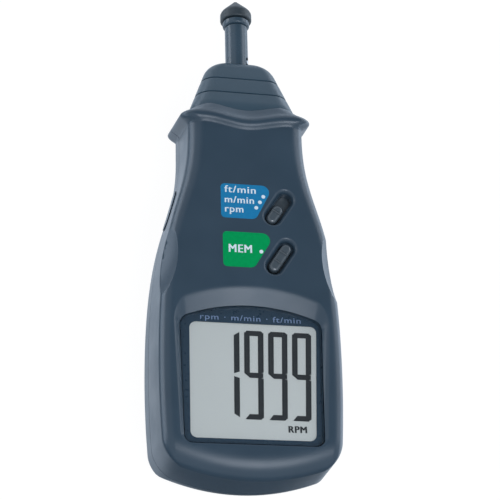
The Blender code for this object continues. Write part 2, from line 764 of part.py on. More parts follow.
def build_spindle():
    axis = SPINDLE_HEIGHT
    tail = ENCODER_Y - ENCODER_HUB_LENGTH / 2 - 1.2
    step = RETAINER_Y - COLLAR_LENGTH - 1.0
    shoulder = FRONT_BEARING_Y + BEARING_WIDTH + CLEARANCE
    spindle = turned("spindle", [
        (0, JOURNAL_END_Y), (JOURNAL_RADIUS - 0.5, JOURNAL_END_Y), (JOURNAL_RADIUS, JOURNAL_END_Y - 0.5),
        (JOURNAL_RADIUS, shoulder), (SPINDLE_RADIUS, shoulder), (SPINDLE_RADIUS, step),
        (SPINDLE_TAIL_RADIUS, step), (SPINDLE_TAIL_RADIUS, tail + 0.3), (SPINDLE_TAIL_RADIUS - 0.3, tail),
        (0, tail),
    ], STEEL, segments=20, closed=False)
    direction = Vector((sin(radians(DRIVE_PIN_ANGLE)), 0, cos(radians(DRIVE_PIN_ANGLE))))
    middle = Vector((0, SLEEVE_Y + DRIVE_PIN_RISE, axis))
    reach = JOURNAL_RADIUS + 2
    cut(spindle, rod("pin_hole", DRIVE_PIN_RADIUS + CLEARANCE, middle - direction * reach,
                     middle + direction * reach, segments=12))
    pin = rod("drive_pin", DRIVE_PIN_RADIUS, middle - direction * JOURNAL_RADIUS,
              middle + direction * (SLEEVE_RADIUS - 0.1), STEEL, segments=12)
    smooth(set_origin(pin, (0, 0, axis)))
    for name, low in (("front_bearing", FRONT_BEARING_Y), ("rear_bearing", REAR_BEARING_Y)):
        build_bearing(name, low)
    spacer_inner = BEARING_RADIUS - BEARING_RING
    ring("bearing_spacer", spacer_inner, BEARING_RADIUS, SPACER_Y, SPACER_Y + SPACER_LENGTH, INNER_PLASTIC)
    ring("bearing_retainer", SPINDLE_RADIUS + 2.2, SEAT_RADIUS - 2 * CLEARANCE, RETAINER_Y,
         RETAINER_Y + RETAINER_THICKNESS, INNER_PLASTIC)
    ring("spindle_collar", SPINDLE_RADIUS + CLEARANCE, COLLAR_RADIUS, step + 0.5, RETAINER_Y - 0.5, STEEL)
    build_encoder()


def ring(name, inner, outer, low, high, material, segments=16):
    edge = min(0.2, (outer - inner) / 4)
    return turned(name, [
        (inner, high), (outer - edge, high), (outer, high - edge), (outer, low + edge), (outer - edge, low),
        (inner, low),
    ], material, segments)


def build_bearing(name, low):
    """Outer ring with its two shields, and the inner ring that turns with the spindle."""
    high = low + BEARING_WIDTH
    outer, race = BEARING_RADIUS, BEARING_RADIUS - BEARING_RING
    inner_high = SPINDLE_RADIUS + CLEARANCE + BEARING_RING
    shield = inner_high + CLEARANCE
    turned(name + "_outer", [
        (shield, high), (outer, high), (outer, low), (shield, low), (shield, low + SHIELD_THICKNESS),
        (race, low + SHIELD_THICKNESS), (race, high - SHIELD_THICKNESS), (shield, high - SHIELD_THICKNESS),
    ], STEEL, 20)
    turned(name + "_inner", [
        (SPINDLE_RADIUS + CLEARANCE, high), (inner_high, high), (inner_high, low),
        (SPINDLE_RADIUS + CLEARANCE, low),
    ], STEEL, 16)


def build_encoder():
    """The slotted disc on the spindle's tail, and the sensor that bridges its edge."""
    axis = SPINDLE_HEIGHT
    half, hub = ENCODER_THICKNESS / 2, ENCODER_HUB_LENGTH / 2
    bore = SPINDLE_TAIL_RADIUS + CLEARANCE
    disc = turned("encoder_disc", [
        (bore, ENCODER_Y + hub), (ENCODER_HUB_RADIUS, ENCODER_Y + hub),
        (ENCODER_HUB_RADIUS, ENCODER_Y + half),
        (ENCODER_RADIUS, ENCODER_Y + half), (ENCODER_RADIUS, ENCODER_Y - half),
        (ENCODER_HUB_RADIUS, ENCODER_Y - half), (ENCODER_HUB_RADIUS, ENCODER_Y - hub),
        (bore, ENCODER_Y - hub),
    ], INNER_PLASTIC, 24)
    slots = []
    for k in range(ENCODER_SLOTS):
        slot = block("slot", (-0.8, ENCODER_Y - 2, ENCODER_RADIUS * 0.7),
                     (0.8, ENCODER_Y + 2, ENCODER_RADIUS * 0.92))
        turn = Matrix.Rotation(2 * pi * (k + 0.5) / ENCODER_SLOTS, 4, "Y")
        slots.append(moved(slot, Matrix.Translation((0, 0, axis * MM)) @ turn))
    cut(disc, merged("encoder_slots", slots))
    width, slot = SENSOR_WIDTH / 2, SENSOR_SLOT / 2
    low = ENCODER_Y - slot - SENSOR_LEG
    high = ENCODER_Y + slot + SENSOR_LEG
    top = axis + ENCODER_RADIUS + 1.0
    sensor = block("optical_sensor", (-width, low, BOARD_SEAT), (width, high, top + 2.0), KEY_PLASTIC)
    cut(sensor, block("sensor_slot", (-width - 1, ENCODER_Y - slot, BOARD_SEAT - 1),
                      (width + 1, ENCODER_Y + slot, top)))


def build_adapter():
    """The pull-off contact adapter: sleeve with its drive notch, collar and rubber cone."""
    axis = SPINDLE_HEIGHT
    bore = JOURNAL_RADIUS + CLEARANCE
    bore_end = JOURNAL_END_Y + 0.8
    sleeve_end = SLEEVE_Y + SLEEVE_LENGTH
    stub_end = TIP_Y + TIP_SKIRT_LENGTH - 0.4
    sleeve = turned("adapter_sleeve", [
        (0, stub_end), (STUB_RADIUS - 0.4, stub_end), (STUB_RADIUS, stub_end - 0.4),
        (STUB_RADIUS, sleeve_end),
        (SLEEVE_RADIUS - 0.2, sleeve_end), (SLEEVE_RADIUS, sleeve_end - 0.2), (SLEEVE_RADIUS, SLEEVE_Y + 0.4),
        (SLEEVE_RADIUS - 0.4, SLEEVE_Y), (bore, SLEEVE_Y), (bore, bore_end), (0, bore_end),
    ], ADAPTER_PLASTIC, 24, closed=False)
    turn = Matrix.Rotation(radians(DRIVE_PIN_ANGLE), 4, "Y")
    half = NOTCH_WIDTH / 2
    notch = loft("drive_notch", [
        [(-half, SLEEVE_Y - 2, z), (half, SLEEVE_Y - 2, z), (half, SLEEVE_Y + NOTCH_LENGTH, z),
         (-half, SLEEVE_Y + NOTCH_LENGTH - 1.2, z)]
        for z in (JOURNAL_RADIUS - 0.9, SLEEVE_RADIUS + 3)
    ])
    cut(sleeve, moved(notch, Matrix.Translation((0, 0, axis * MM)) @ turn))
    inner = STUB_RADIUS + CLEARANCE
    top = COLLAR_Y + COLLAR_LENGTH
    collar = ADAPTER_COLLAR_RADIUS
    turned("adapter_collar", [
        (inner, top), (collar, top), (collar, COLLAR_Y + 0.9), (collar - 0.25, COLLAR_Y + 0.35),
        (collar - 0.8, COLLAR_Y), (inner, COLLAR_Y),
    ], ADAPTER_PLASTIC, 24)
    shoulder = TIP_Y + TIP_SKIRT_LENGTH
    hole_end = stub_end + CLEARANCE
    point = TIP_POINT_RADIUS
    turned("cone_tip", [
        (0, APEX_Y), (point * 0.55, APEX_Y - 0.12), (point, APEX_Y - 0.45),
        (TIP_RADIUS - 0.9, shoulder + 0.25),
        (TIP_RADIUS - 0.3, shoulder - 0.45), (TIP_RADIUS, shoulder - 1.4), (TIP_RADIUS, TIP_Y + 0.6),
        (TIP_RADIUS - 0.35, TIP_Y), (inner, TIP_Y), (inner, hole_end), (0, hole_end),
    ], TIP_RUBBER, 24, closed=False)


# Display

def panel_outline(base_y, high_y, base_width, width, arch_radius, corner, arc_steps=4, arch_steps=8):
    """The lens's outline: straight foot, sides that spread a little, and an arched head."""
    half, foot = width / 2, base_width / 2
    sag = arch_radius - sqrt(arch_radius ** 2 - half ** 2)
    head = high_y - sag
    points = []
    for k in range(arc_steps + 1):
        turn = pi / 2 * k / arc_steps
        points.append((foot - corner + corner * sin(turn), base_y + corner - corner * cos(turn)))
    for k in range(arc_steps + 1):
        turn = pi / 2 * k / arc_steps
        points.append((half - corner + corner * cos(turn), head - corner + corner * sin(turn)))
    reach = half - corner
    for k in range(1, arch_steps):
        x = reach - 2 * reach * k / arch_steps
        points.append((x, head + sqrt(arch_radius ** 2 - x * x) - arch_radius + sag))
    right = points[:2 * arc_steps + 2]
    return points + [(-x, y) for x, y in reversed(right)]


def tilted(item):
    """Leans a display piece with the lens, which drops towards the instrument's nose."""
    pivot = Vector((0, LENS_MIDDLE_Y, LENS_HEIGHT)) * MM
    turn = Matrix.Rotation(-LENS_TILT, 4, "X")
    return moved(item, Matrix.Translation(pivot) @ turn @ Matrix.Translation(-pivot))


def lens_outline(grow=0.0):
    return panel_outline(
        LENS_LOW_Y - grow, LENS_HIGH_Y + grow, LENS_BASE_WIDTH + 2 * grow, LENS_WIDTH + 2 * grow,
        LENS_ARCH_RADIUS + grow, LENS_CORNER_RADIUS + grow,
    )


def floor_height(y):
    return LENS_HEIGHT - (y - LENS_MIDDLE_Y) * (LENS_BASE_HEIGHT - LENS_TOP_HEIGHT) / LENS_LENGTH


def display_pocket():
    """The sunken panel: its floor leans with the lens, and its head slopes up to the face in an arc."""
    floor = lens_outline(CLEARANCE)
    brim = panel_outline(
        LENS_LOW_Y - 0.7, LENS_HIGH_Y + POCKET_TOP_RUN, LENS_BASE_WIDTH + POCKET_SIDE_RUN,
        LENS_WIDTH + 2 * POCKET_SIDE_RUN, LENS_ARCH_RADIUS - 5, LENS_CORNER_RADIUS + 1.2,
    )
    above = 0.5
    rings = [[(x, y, floor_height(y)) for x, y in floor]]
    high = []
    for (x, y), (bx, by) in zip(floor, brim):
        low = floor_height(y)
        stretch = (FACE_HEIGHT + above - low) / (FACE_HEIGHT - low)
        stretch = min(stretch, 1.6)
        high.append((x + (bx - x) * stretch, y + (by - y) * stretch, FACE_HEIGHT + above))
    rings.append(high)
    return loft("display_pocket", rings)


def lcd_box(grow=0.0):
    """Low and high corners of the display glass, before it leans with the lens."""
    half = LENS_BASE_WIDTH / 2 - LENS_LEDGE + grow
    sag = LENS_ARCH_RADIUS - sqrt(LENS_ARCH_RADIUS ** 2 - half ** 2)
    top = LENS_HEIGHT - LENS_THICKNESS - 2 * CLEARANCE
    low = (-half, LENS_LOW_Y + LENS_LEDGE - grow, top - LCD_THICKNESS)
    high = (half, LENS_HIGH_Y - sag - LENS_LEDGE + grow, top)
    return low, high


def build_display():
    lens_low = LENS_HEIGHT - LENS_THICKNESS - CLEARANCE
    lens = plate("display_lens", lens_outline(), lens_low, lens_low + LENS_THICKNESS, LENS_ACRYLIC)
    tilted(lens)
    low, high = lcd_box()
    tilted(block("lcd_panel", low, high, LCD_GLASS))
    wall, strip = HOLDER_WALL, STRIP_INSET
    holder = block("display_holder", (low[0] - wall, low[1] - wall, BOARD_SEAT),
                   (high[0] + wall, high[1] + wall, DECK_HEIGHT - CLEARANCE), INNER_PLASTIC)
    roomy_low, roomy_high = lcd_box(CLEARANCE)
    glass_seat = block("glass_seat", (roomy_low[0], roomy_low[1], roomy_low[2] - CLEARANCE),
                       (roomy_high[0], roomy_high[1], roomy_high[2] + FAR))
    cut(holder, tilted(glass_seat))
    slot_high = high[1] - wall
    slot_low = slot_high - STRIP_WIDTH
    cut(holder, block("holder_window", (low[0] + wall, low[1] + wall, BOARD_TOP - 1),
                      (high[0] - wall, slot_low - STRIP_WIDTH + 0.2, DECK_HEIGHT + FAR)))
    cut(holder, block("strip_slot", (low[0] + strip, slot_low - CLEARANCE, BOARD_TOP - 1),
                      (high[0] - strip, slot_high + CLEARANCE, DECK_HEIGHT + FAR)))
    back = floor_height(slot_high) - LENS_THICKNESS - 2 * CLEARANCE - LCD_THICKNESS
    block("contact_strip", (low[0] + strip + CLEARANCE, slot_low, BOARD_SEAT),
          (high[0] - strip - CLEARANCE, slot_high, back - CLEARANCE), TIP_RUBBER)


# Circuit board

def build_board():
    wide, slim = BOARD_DISPLAY_WIDTH / 2, BOARD_WIDTH / 2
    low, step, high = LENS_LOW_Y, TRAY_HIGH_Y + 0.5, PLATE_BACK_Y - 1.2
    outline = [(-wide, low), (wide, low), (wide, step), (slim, step), (slim, high), (-slim, high),
               (-slim, step), (-wide, step)]
    board = plate("main_board", outline, BOARD_HEIGHT, BOARD_TOP, BOARD_LAMINATE)
    reach = ENCODER_RADIUS + 0.8
    gap = ENCODER_HUB_LENGTH / 2 + 0.4
    cut(board, block("disc_hole", (-reach, ENCODER_Y - gap, BOARD_HEIGHT - 1),
                     (reach, ENCODER_Y + gap, BOARD_TOP + 1)))
    holes = [
        rod("hole", BOARD_SCREW_RADIUS + CLEARANCE, (x, y, BOARD_HEIGHT - 1), (x, y, BOARD_TOP + 1),
            segments=12)
        for x, y in BOARD_SCREW_PLACES
    ]
    cut(board, merged("board_screw_holes", holes))
    for number, (x, y) in enumerate(BOARD_SCREW_PLACES, 1):
        head = BOARD_HEIGHT - CLEARANCE
        screw_piece("board_screw_%d" % number, x, y, head - 1.2, 1.2, 1.9, BOARD_SCREW_RADIUS,
                    BOARD_SCREW_LENGTH)


def screw_piece(name, x, y, low, head_height, head_radius, radius, length):
    """A pan-head screw pointing up from its head."""
    shank = low + head_height
    profile = [
        (0, shank + length), (radius * 0.6, shank + length), (radius, shank + length - 0.8), (radius, shank),
        (head_radius, shank), (head_radius, low + head_height * 0.5), (head_radius * 0.7, low), (0, low),
    ]
    item = turned(name, profile, STEEL, 10, closed=False)
    item.rotation_euler = (0, 0, 0)
    item.location = (x * MM, y * MM, 0)
    return item


# Switches in the front face

def stadium(length, width, steps=6):
    """An oblong outline along X with round ends."""
    radius, reach = width / 2, (length - width) / 2
    right = [
        (reach + radius * sin(pi * k / steps), -radius * cos(pi * k / steps)) for k in range(steps + 1)
    ]
    return right + [(-x, -y) for x, y in right]


def at_switch(item, y):
    """Turns a piece drawn along X to the switches' slant and sets it at its place in the face."""
    spot = Matrix.Translation(Vector((SWITCH_X, y, 0)) * MM)
    return moved(item, spot @ Matrix.Rotation(radians(SWITCH_ANGLE), 4, "Z"))


def recess(name, y):
    """The bevelled oblong sink that a switch lies in."""
    rings = []
    for grow, z in ((-RECESS_BEVEL, FACE_HEIGHT - RECESS_DEPTH), (-RECESS_BEVEL * 0.75, FACE_HEIGHT - 1.2),
                    (0.35, FACE_HEIGHT + 0.6)):
        outline = stadium(RECESS_LENGTH + 2 * grow, RECESS_WIDTH + 2 * grow)
        rings.append([(x, py, z) for x, py in outline])
    return at_switch(loft(name, rings), y)


def key_hole(name, y, length, shift=0.0):
    outline = [(x + shift, py) for x, py in stadium(length, KEY_WIDTH + 2 * SLIDE_CLEARANCE)]
    return at_switch(plate(name, outline, WELL_BOTTOM - 2, FACE_HEIGHT - RECESS_DEPTH + 1), y)


def grooved_key(name, length, middle, grooves, y, plate_length, plate_shift=0.0):
    """An oblong key with crosswise grooves in its crown, on the plate that holds it under the face."""
    outline = [(x + middle, py) for x, py in stadium(length, KEY_WIDTH)]
    key = plate(name, outline, PLATE_TOP - 0.6, KEY_TOP, KEY_PLASTIC)
    bevel(at_switch(key, y), 0.7, 2, 60)
    tools = []
    for place in grooves:
        bar = block("groove", (middle + place - KEY_GROOVE / 2, -KEY_WIDTH, KEY_TOP - 0.6),
                    (middle + place + KEY_GROOVE / 2, KEY_WIDTH, KEY_TOP + 1))
        tools.append(bar)
    cut(key, at_switch(merged(name + "_grooves", tools), y))
    base = [(x + plate_shift, py) for x, py in stadium(plate_length, RECESS_WIDTH - 1.0, 4)]
    join(key, at_switch(plate(name + "_plate", base, PLATE_BOTTOM, PLATE_TOP), y))
    return key


def build_mode_switch():
    """The three-place slide switch, resting at its lower left end."""
    middle = -MODE_TRAVEL / 2
    knob = grooved_key("mode_slider", MODE_KNOB_LENGTH, middle, (1.0,), MODE_Y,
                       RECESS_LENGTH + MODE_TRAVEL - 1.0, middle)
    stem, thick = STEM_WIDTH / 2, STEM_THICKNESS / 2
    body_top = PLATE_BOTTOM - MODE_BODY_DROP
    join(knob, at_switch(block("slider_stem", (middle - stem, -thick, body_top - 2.2),
                               (middle + stem, thick, PLATE_BOTTOM + 0.4)), MODE_Y))
    set_origin_of_slanted(knob, MODE_Y, middle)
    length, width = MODE_BODY_LENGTH / 2, MODE_BODY_WIDTH / 2
    body = block("mode_switch", (-length, -width, BOARD_SEAT), (length, width, body_top), INNER_PLASTIC)
    at_switch(body, MODE_Y)
    reach = MODE_TRAVEL / 2 + stem + SLIDE_CLEARANCE
    cut(body, at_switch(block("lever_slot", (-reach, -thick - SLIDE_CLEARANCE, body_top - 2.8),
                              (reach, thick + SLIDE_CLEARANCE, body_top + 1)), MODE_Y))


def set_origin_of_slanted(item, y, along=0.0):
    turn = radians(SWITCH_ANGLE)
    return set_origin(item, (SWITCH_X + along * cos(turn), y + along * sin(turn), FACE_HEIGHT))


def build_memory_switch():
    key = grooved_key("memory_button", MEMORY_KEY_LENGTH, 0.0, (-2.1, 2.1), MEMORY_Y, RECESS_LENGTH - 1.6)
    plunger_top = PLATE_BOTTOM - KEY_STEM_LENGTH
    body_top = plunger_top - PLUNGER_PROUD
    stem = KEY_STEM_WIDTH / 2
    join(key, at_switch(block("key_stem", (-stem, -stem, plunger_top + CLEARANCE),
                              (stem, stem, PLATE_BOTTOM + 0.4)), MEMORY_Y))
    set_origin_of_slanted(key, MEMORY_Y)
    hole_low = BOARD_SEAT + 0.6
    plunger_low = hole_low + MEMORY_TRAVEL + CLEARANCE
    plunger = rod("memory_plunger", PLUNGER_RADIUS, (SWITCH_X, MEMORY_Y, plunger_low),
                  (SWITCH_X, MEMORY_Y, plunger_top), KEY_PLASTIC, 16)
    set_origin(plunger, (SWITCH_X, MEMORY_Y, plunger_top))
    half = MEMORY_BODY_WIDTH / 2
    body = block("memory_switch", (-half, -half, BOARD_SEAT), (half, half, body_top), INNER_PLASTIC)
    at_switch(body, MEMORY_Y)
    cut(body, rod("plunger_hole", PLUNGER_RADIUS + CLEARANCE, (SWITCH_X, MEMORY_Y, hole_low),
                  (SWITCH_X, MEMORY_Y, body_top + 1), segments=16))


# Measuring button in the left side

def side_prism(name, grow, left, right):
    """An oblong bar along X through the left side of the case, at the parting height."""
    outline = stadium(MEASURE_LENGTH + 2 * grow, MEASURE_DEPTH + 2 * grow)
    rings = [[(x, MEASURE_Y + along, PARTING_HEIGHT + up) for along, up in outline] for x in (left, right)]
    return loft(name, rings)


def build_measure_button():
    inner = case_half_width(MEASURE_Y + MEASURE_LENGTH / 2) - WALL
    back = -(inner - MEASURE_TRAVEL - 0.2)
    button = side_prism("measure_button", -SLIDE_CLEARANCE, -(CASE_WIDTH / 2), back)
    button.data.materials.append(CASE_PLASTIC)
    keep(button, case_solid("button_crown", MEASURE_PROUD, RIM_Y - 12, 9.0))
    flange = side_prism("button_flange", 1.0, back, back + 1.4)
    join(button, flange)
    switch_face = -BOARD_WIDTH / 2 + MEASURE_SWITCH_INSET
    plunger_tip = switch_face - MEASURE_PLUNGER_PROUD
    stem = KEY_STEM_WIDTH / 2
    join(button, block("button_stem", (back + 0.6, MEASURE_Y - stem, PARTING_HEIGHT - stem),
                       (plunger_tip - CLEARANCE, MEASURE_Y + stem, PARTING_HEIGHT + stem)))
    set_origin(button, (back, MEASURE_Y, PARTING_HEIGHT))
    plunger_end = switch_face + MEASURE_PLUNGER_SUNK
    plunger = rod("measure_plunger", PLUNGER_RADIUS, (plunger_tip, MEASURE_Y, PARTING_HEIGHT),
                  (plunger_end, MEASURE_Y, PARTING_HEIGHT), KEY_PLASTIC, 16)
    set_origin(plunger, (plunger_tip, MEASURE_Y, PARTING_HEIGHT))
    half = MEASURE_SWITCH_WIDTH / 2
    body = block("measure_switch", (switch_face, MEASURE_Y - half, PARTING_HEIGHT - half),
                 (switch_face + MEASURE_SWITCH_DEPTH, MEASURE_Y + half, BOARD_HEIGHT - CLEARANCE), INNER_PLASTIC)
    hole_end = plunger_end + MEASURE_TRAVEL + CLEARANCE
    cut(body, rod("side_plunger_hole", PLUNGER_RADIUS + CLEARANCE, (switch_face - 1, MEASURE_Y, PARTING_HEIGHT),
                  (hole_end, MEASURE_Y, PARTING_HEIGHT), segments=16))


# Case halves

def screw_bosses(name, low, high, radius):
    bosses = [rod("boss", radius, (x, y, low), (x, y, high), segments=16) for x, y in SCREW_PLACES]
    return merged(name, bosses)


def build_front_cover():
    cover = outer_case("front_cover", CASE_PLASTIC)
    keep(cover, block("front_half", (-FAR, BASE_Y - FAR, PARTING_HEIGHT + CLEARANCE / 2),
                      (FAR, RIM_Y + FAR, FACE_HEIGHT + FAR)))
    cut(cover, offset_slab("lip_groove", -(WALL - LIP_THICKNESS) + CLEARANCE, PARTING_HEIGHT - 1,
                           PARTING_HEIGHT + LIP_HEIGHT + CLEARANCE))
    cut(cover, case_cavity("front_cavity"))
    join(cover, screw_bosses("front_bosses", SCREW_JOINT_HEIGHT + CLEARANCE, FACE_HEIGHT - WALL / 2, BOSS_RADIUS))
    board_bosses = [
        rod("boss", BOARD_BOSS_RADIUS, (x, y, BOARD_SEAT), (x, y, FACE_HEIGHT - WALL / 2), segments=12)
        for x, y in BOARD_SCREW_PLACES
    ]
    join(cover, merged("board_bosses", board_bosses))
    wells = []
    for y in (MODE_Y, MEMORY_Y):
        outline = stadium(RECESS_LENGTH + 1.6, RECESS_WIDTH + 1.6)
        wells.append(at_switch(plate("well", outline, WELL_BOTTOM, FACE_HEIGHT - WALL / 2), y))
    join(cover, merged("switch_wells", wells))
    cut(cover, display_pocket())
    seat = plate("lens_seat", lens_outline(CLEARANCE), LENS_HEIGHT - LENS_THICKNESS - 2 * CLEARANCE,
                 LENS_HEIGHT + 0.4)
    cut(cover, tilted(seat))
    low, high = lcd_box(CLEARANCE)
    cut(cover, tilted(block("display_window", (low[0], low[1], DECK_HEIGHT - 6), (high[0], high[1], FAR))))
    for name, y in (("mode_recess", MODE_Y), ("memory_recess", MEMORY_Y)):
        cut(cover, recess(name, y))
    cut(cover, key_hole("mode_slot", MODE_Y, MODE_KNOB_LENGTH + MODE_TRAVEL + 2 * SLIDE_CLEARANCE))
    cut(cover, key_hole("memory_hole", MEMORY_Y, MEMORY_KEY_LENGTH + 2 * SLIDE_CLEARANCE))
    for side in (-1, 1):
        cut(cover, finger_scoop("scoop_%d" % (side + 1), side))
    holes = [
        rod("hole", SCREW_RADIUS + CLEARANCE, (x, y, SCREW_JOINT_HEIGHT - 1),
            (x, y, SCREW_SINK + SCREW_HEAD_HEIGHT + SCREW_LENGTH + 1.0), segments=12)
        for x, y in SCREW_PLACES
    ]
    holes += [
        rod("hole", BOARD_SCREW_RADIUS + CLEARANCE, (x, y, BOARD_TOP - 1),
            (x, y, BOARD_TOP + BOARD_SCREW_LENGTH + 0.4), segments=12)
        for x, y in BOARD_SCREW_PLACES
    ]
    cut(cover, merged("front_screw_holes", holes))
    cut(cover, nose_hole("front_nose_hole"), side_prism("front_button_hole", 0.0, -FAR, -inner_reach()))


def inner_reach():
    """How far in from the side the measuring button's hole reaches."""
    return case_half_width(MEASURE_Y + MEASURE_LENGTH / 2) - WALL - 2


def finger_scoop(name, side):
    """A large shallow ball cut that leaves a leaf-shaped facet on the front edge."""
    radius = sqrt(SCOOP_RADIUS ** 2 + SCOOP_HEIGHT ** 2)
    bm = bmesh.new()
    bmesh.ops.create_uvsphere(bm, u_segments=44, v_segments=30, radius=radius * MM)
    across = side * (SCOOP_WIDTH / 2 + SCOOP_RADIUS)
    middle = Vector((across, BASE_Y + SCOOP_FROM_BASE, FACE_HEIGHT + SCOOP_HEIGHT))
    bmesh.ops.translate(bm, vec=middle * MM, verts=bm.verts)
    return from_bmesh(name, bm)


def build_rear_cover():
    cover = outer_case("rear_cover", CASE_PLASTIC)
    keep(cover, block("rear_half", (-FAR, BASE_Y - FAR, -FAR),
                      (FAR, RIM_Y + FAR, PARTING_HEIGHT - CLEARANCE / 2)))
    join(cover, offset_slab("lip", -(WALL - LIP_THICKNESS), PARTING_HEIGHT - 2, PARTING_HEIGHT + LIP_HEIGHT))
    cut(cover, case_cavity("rear_cavity"))
    join(cover, screw_bosses("rear_bosses", WALL / 2, SCREW_JOINT_HEIGHT, BOSS_RADIUS))
    join(cover, tray_block("tray_foot", -WALL / 2, WALL / 2, PARTING_HEIGHT - 1))
    join(cover, tray_block("tray_head", -WALL - CLEARANCE, PARTING_HEIGHT - 2, TRAY_TOP))
    cut(cover, block("tray_room", (-TRAY_HALF_WIDTH, TRAY_LOW_Y, DOOR_THICKNESS - 1),
                     (TRAY_HALF_WIDTH, TRAY_HIGH_Y, TRAY_CEILING)))
    half, tongue = DOOR_HALF_WIDTH + SLIDE_CLEARANCE, DOOR_TONGUE
    cut(cover, block("door_opening", (-half, BASE_Y - FAR, -FAR),
                     (half, DOOR_HIGH_Y + CLEARANCE, DOOR_THICKNESS + CLEARANCE)))
    middle = DOOR_THICKNESS / 2
    cut(cover, block("door_grooves", (-half - tongue, BASE_Y - FAR, middle - 0.7),
                     (half + tongue, DOOR_HIGH_Y + CLEARANCE, middle + 0.8)))
    holes = [
        rod("hole", SCREW_HEAD_RADIUS + CLEARANCE, (x, y, -WALL),
            (x, y, SCREW_SINK + SCREW_HEAD_HEIGHT + CLEARANCE), segments=16)
        for x, y in SCREW_PLACES
    ]
    cut(cover, merged("head_sinks", holes))
    holes = [
        rod("hole", SCREW_RADIUS + CLEARANCE, (x, y, SCREW_SINK), (x, y, SCREW_JOINT_HEIGHT + 2), segments=12)
        for x, y in SCREW_PLACES
    ]
    cut(cover, merged("rear_screw_holes", holes))
    cut(cover, nose_hole("rear_nose_hole"), side_prism("rear_button_hole", 0.0, -FAR, -inner_reach()))


def tray_block(name, grow, low, high):
    """A layer of the battery tray's outside, trimmed where its corners would come through the case."""
    reach = TRAY_HALF_WIDTH + 3.0
    tray = block(name, (-reach, TRAY_LOW_Y - TRAY_WALL, low), (reach, TRAY_HIGH_Y + TRAY_WALL, high))
    return keep(tray, case_solid(name + "_limit", grow, CAVITY_END_Y, 12.0, 3, 2))


def build_case_screws():
    for number, (x, y) in enumerate(SCREW_PLACES, 1):
        screw_piece("case_screw_%d" % number, x, y, SCREW_SINK, SCREW_HEAD_HEIGHT, SCREW_HEAD_RADIUS,
                    SCREW_RADIUS, SCREW_LENGTH)


# Batteries

def build_battery_door():
    """The door in the back, which slides off over the base."""
    half, high = DOOR_HALF_WIDTH, DOOR_HIGH_Y
    door = outer_case("battery_door", CASE_PLASTIC)
    reach = half + DOOR_TONGUE
    keep(door, block("door_limit", (-reach, BASE_Y - FAR, -FAR), (reach, high, DOOR_THICKNESS)))
    middle = DOOR_THICKNESS / 2
    for side, name in ((-1, "left"), (1, "right")):
        inner, outer = sorted((side * half, side * FAR))
        cut(door, block("rim_below_" + name, (inner, BASE_Y - FAR, -FAR), (outer, high + FAR, middle - 0.4)))
        cut(door, block("rim_above_" + name, (inner, BASE_Y - FAR, middle + 0.5), (outer, high + FAR, FAR)))
    grips = []
    for k in range(GRIP_COUNT):
        y = high - 5.0 - GRIP_PITCH * k
        grips.append(block("grip", (-GRIP_LENGTH / 2, y, -2), (GRIP_LENGTH / 2, y + GRIP_WIDTH, 0.5)))
    cut(door, merged("door_grips", grips))
    return door


def build_batteries():
    for number in range(CELL_COUNT):
        x = (number - (CELL_COUNT - 1) / 2) * CELL_PITCH
        shoulder = CELL_HIGH_Y - CELL_PIP_LENGTH
        cell = turned("battery_%d" % (number + 1), [
            (0, CELL_HIGH_Y), (CELL_PIP_RADIUS, CELL_HIGH_Y), (CELL_PIP_RADIUS, shoulder),
            (CELL_RADIUS - 0.5, shoulder), (CELL_RADIUS, shoulder - 0.5),
            (CELL_RADIUS, CELL_LOW_Y + 0.5), (CELL_RADIUS - 0.5, CELL_LOW_Y), (0, CELL_LOW_Y),
        ], CELL_JACKET, 20, closed=False)
        cell.location = (x * MM, 0, CELL_HEIGHT * MM)
        half = CONTACT_WIDTH / 2
        low = CELL_HIGH_Y + CLEARANCE
        block("positive_contact_%d" % (number + 1), (x - half, low, CELL_HEIGHT - half),
              (x + half, low + CONTACT_PLATE, CELL_HEIGHT + half), STEEL)
        build_contact_spring("negative_spring_%d" % (number + 1), x)


def build_contact_spring(name, x):
    """A short coil of wire, from its foot on the tray's end wall to the battery's base."""
    turns, steps = 2, 10
    low = TRAY_LOW_Y + CLEARANCE + SPRING_WIRE
    rise = CONTACT_LENGTH - 2 * SPRING_WIRE
    curve = bpy.data.curves.new(name, "CURVE")
    curve.dimensions = "3D"
    curve.bevel_depth = SPRING_WIRE * MM
    curve.bevel_resolution = 0
    curve.use_fill_caps = True
    spline = curve.splines.new("POLY")
    spline.points.add(turns * steps)
    for k in range(turns * steps + 1):
        turn = 2 * pi * k / steps
        share = k / (turns * steps)
        radius = SPRING_RADIUS * (1 - 0.35 * share)
        across, up = x + radius * cos(turn), CELL_HEIGHT + radius * sin(turn)
        spline.points[k].co = (across * MM, (low + rise * share) * MM, up * MM, 1)
    item = bpy.data.objects.new(name, curve)
    PARTS.objects.link(item)
    curve.materials.append(STEEL)
    return item


build_front_cover()
build_rear_cover()
build_battery_door()
build_nose()
build_spindle()
build_adapter()
build_display()
build_board()
build_mode_switch()
build_memory_switch()
build_measure_button()
build_case_screws()
build_batteries()
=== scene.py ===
"""Looks of the contact tachometer: fine moulded shells, printed labels, display and studio.

Sizes are in millimetres until the mesh helpers turn them into metres, as in the part's source.
"""

import json
from math import atan2, cos, pi, radians, sin, sqrt

import bmesh
import bpy
from mathutils import Matrix, Vector


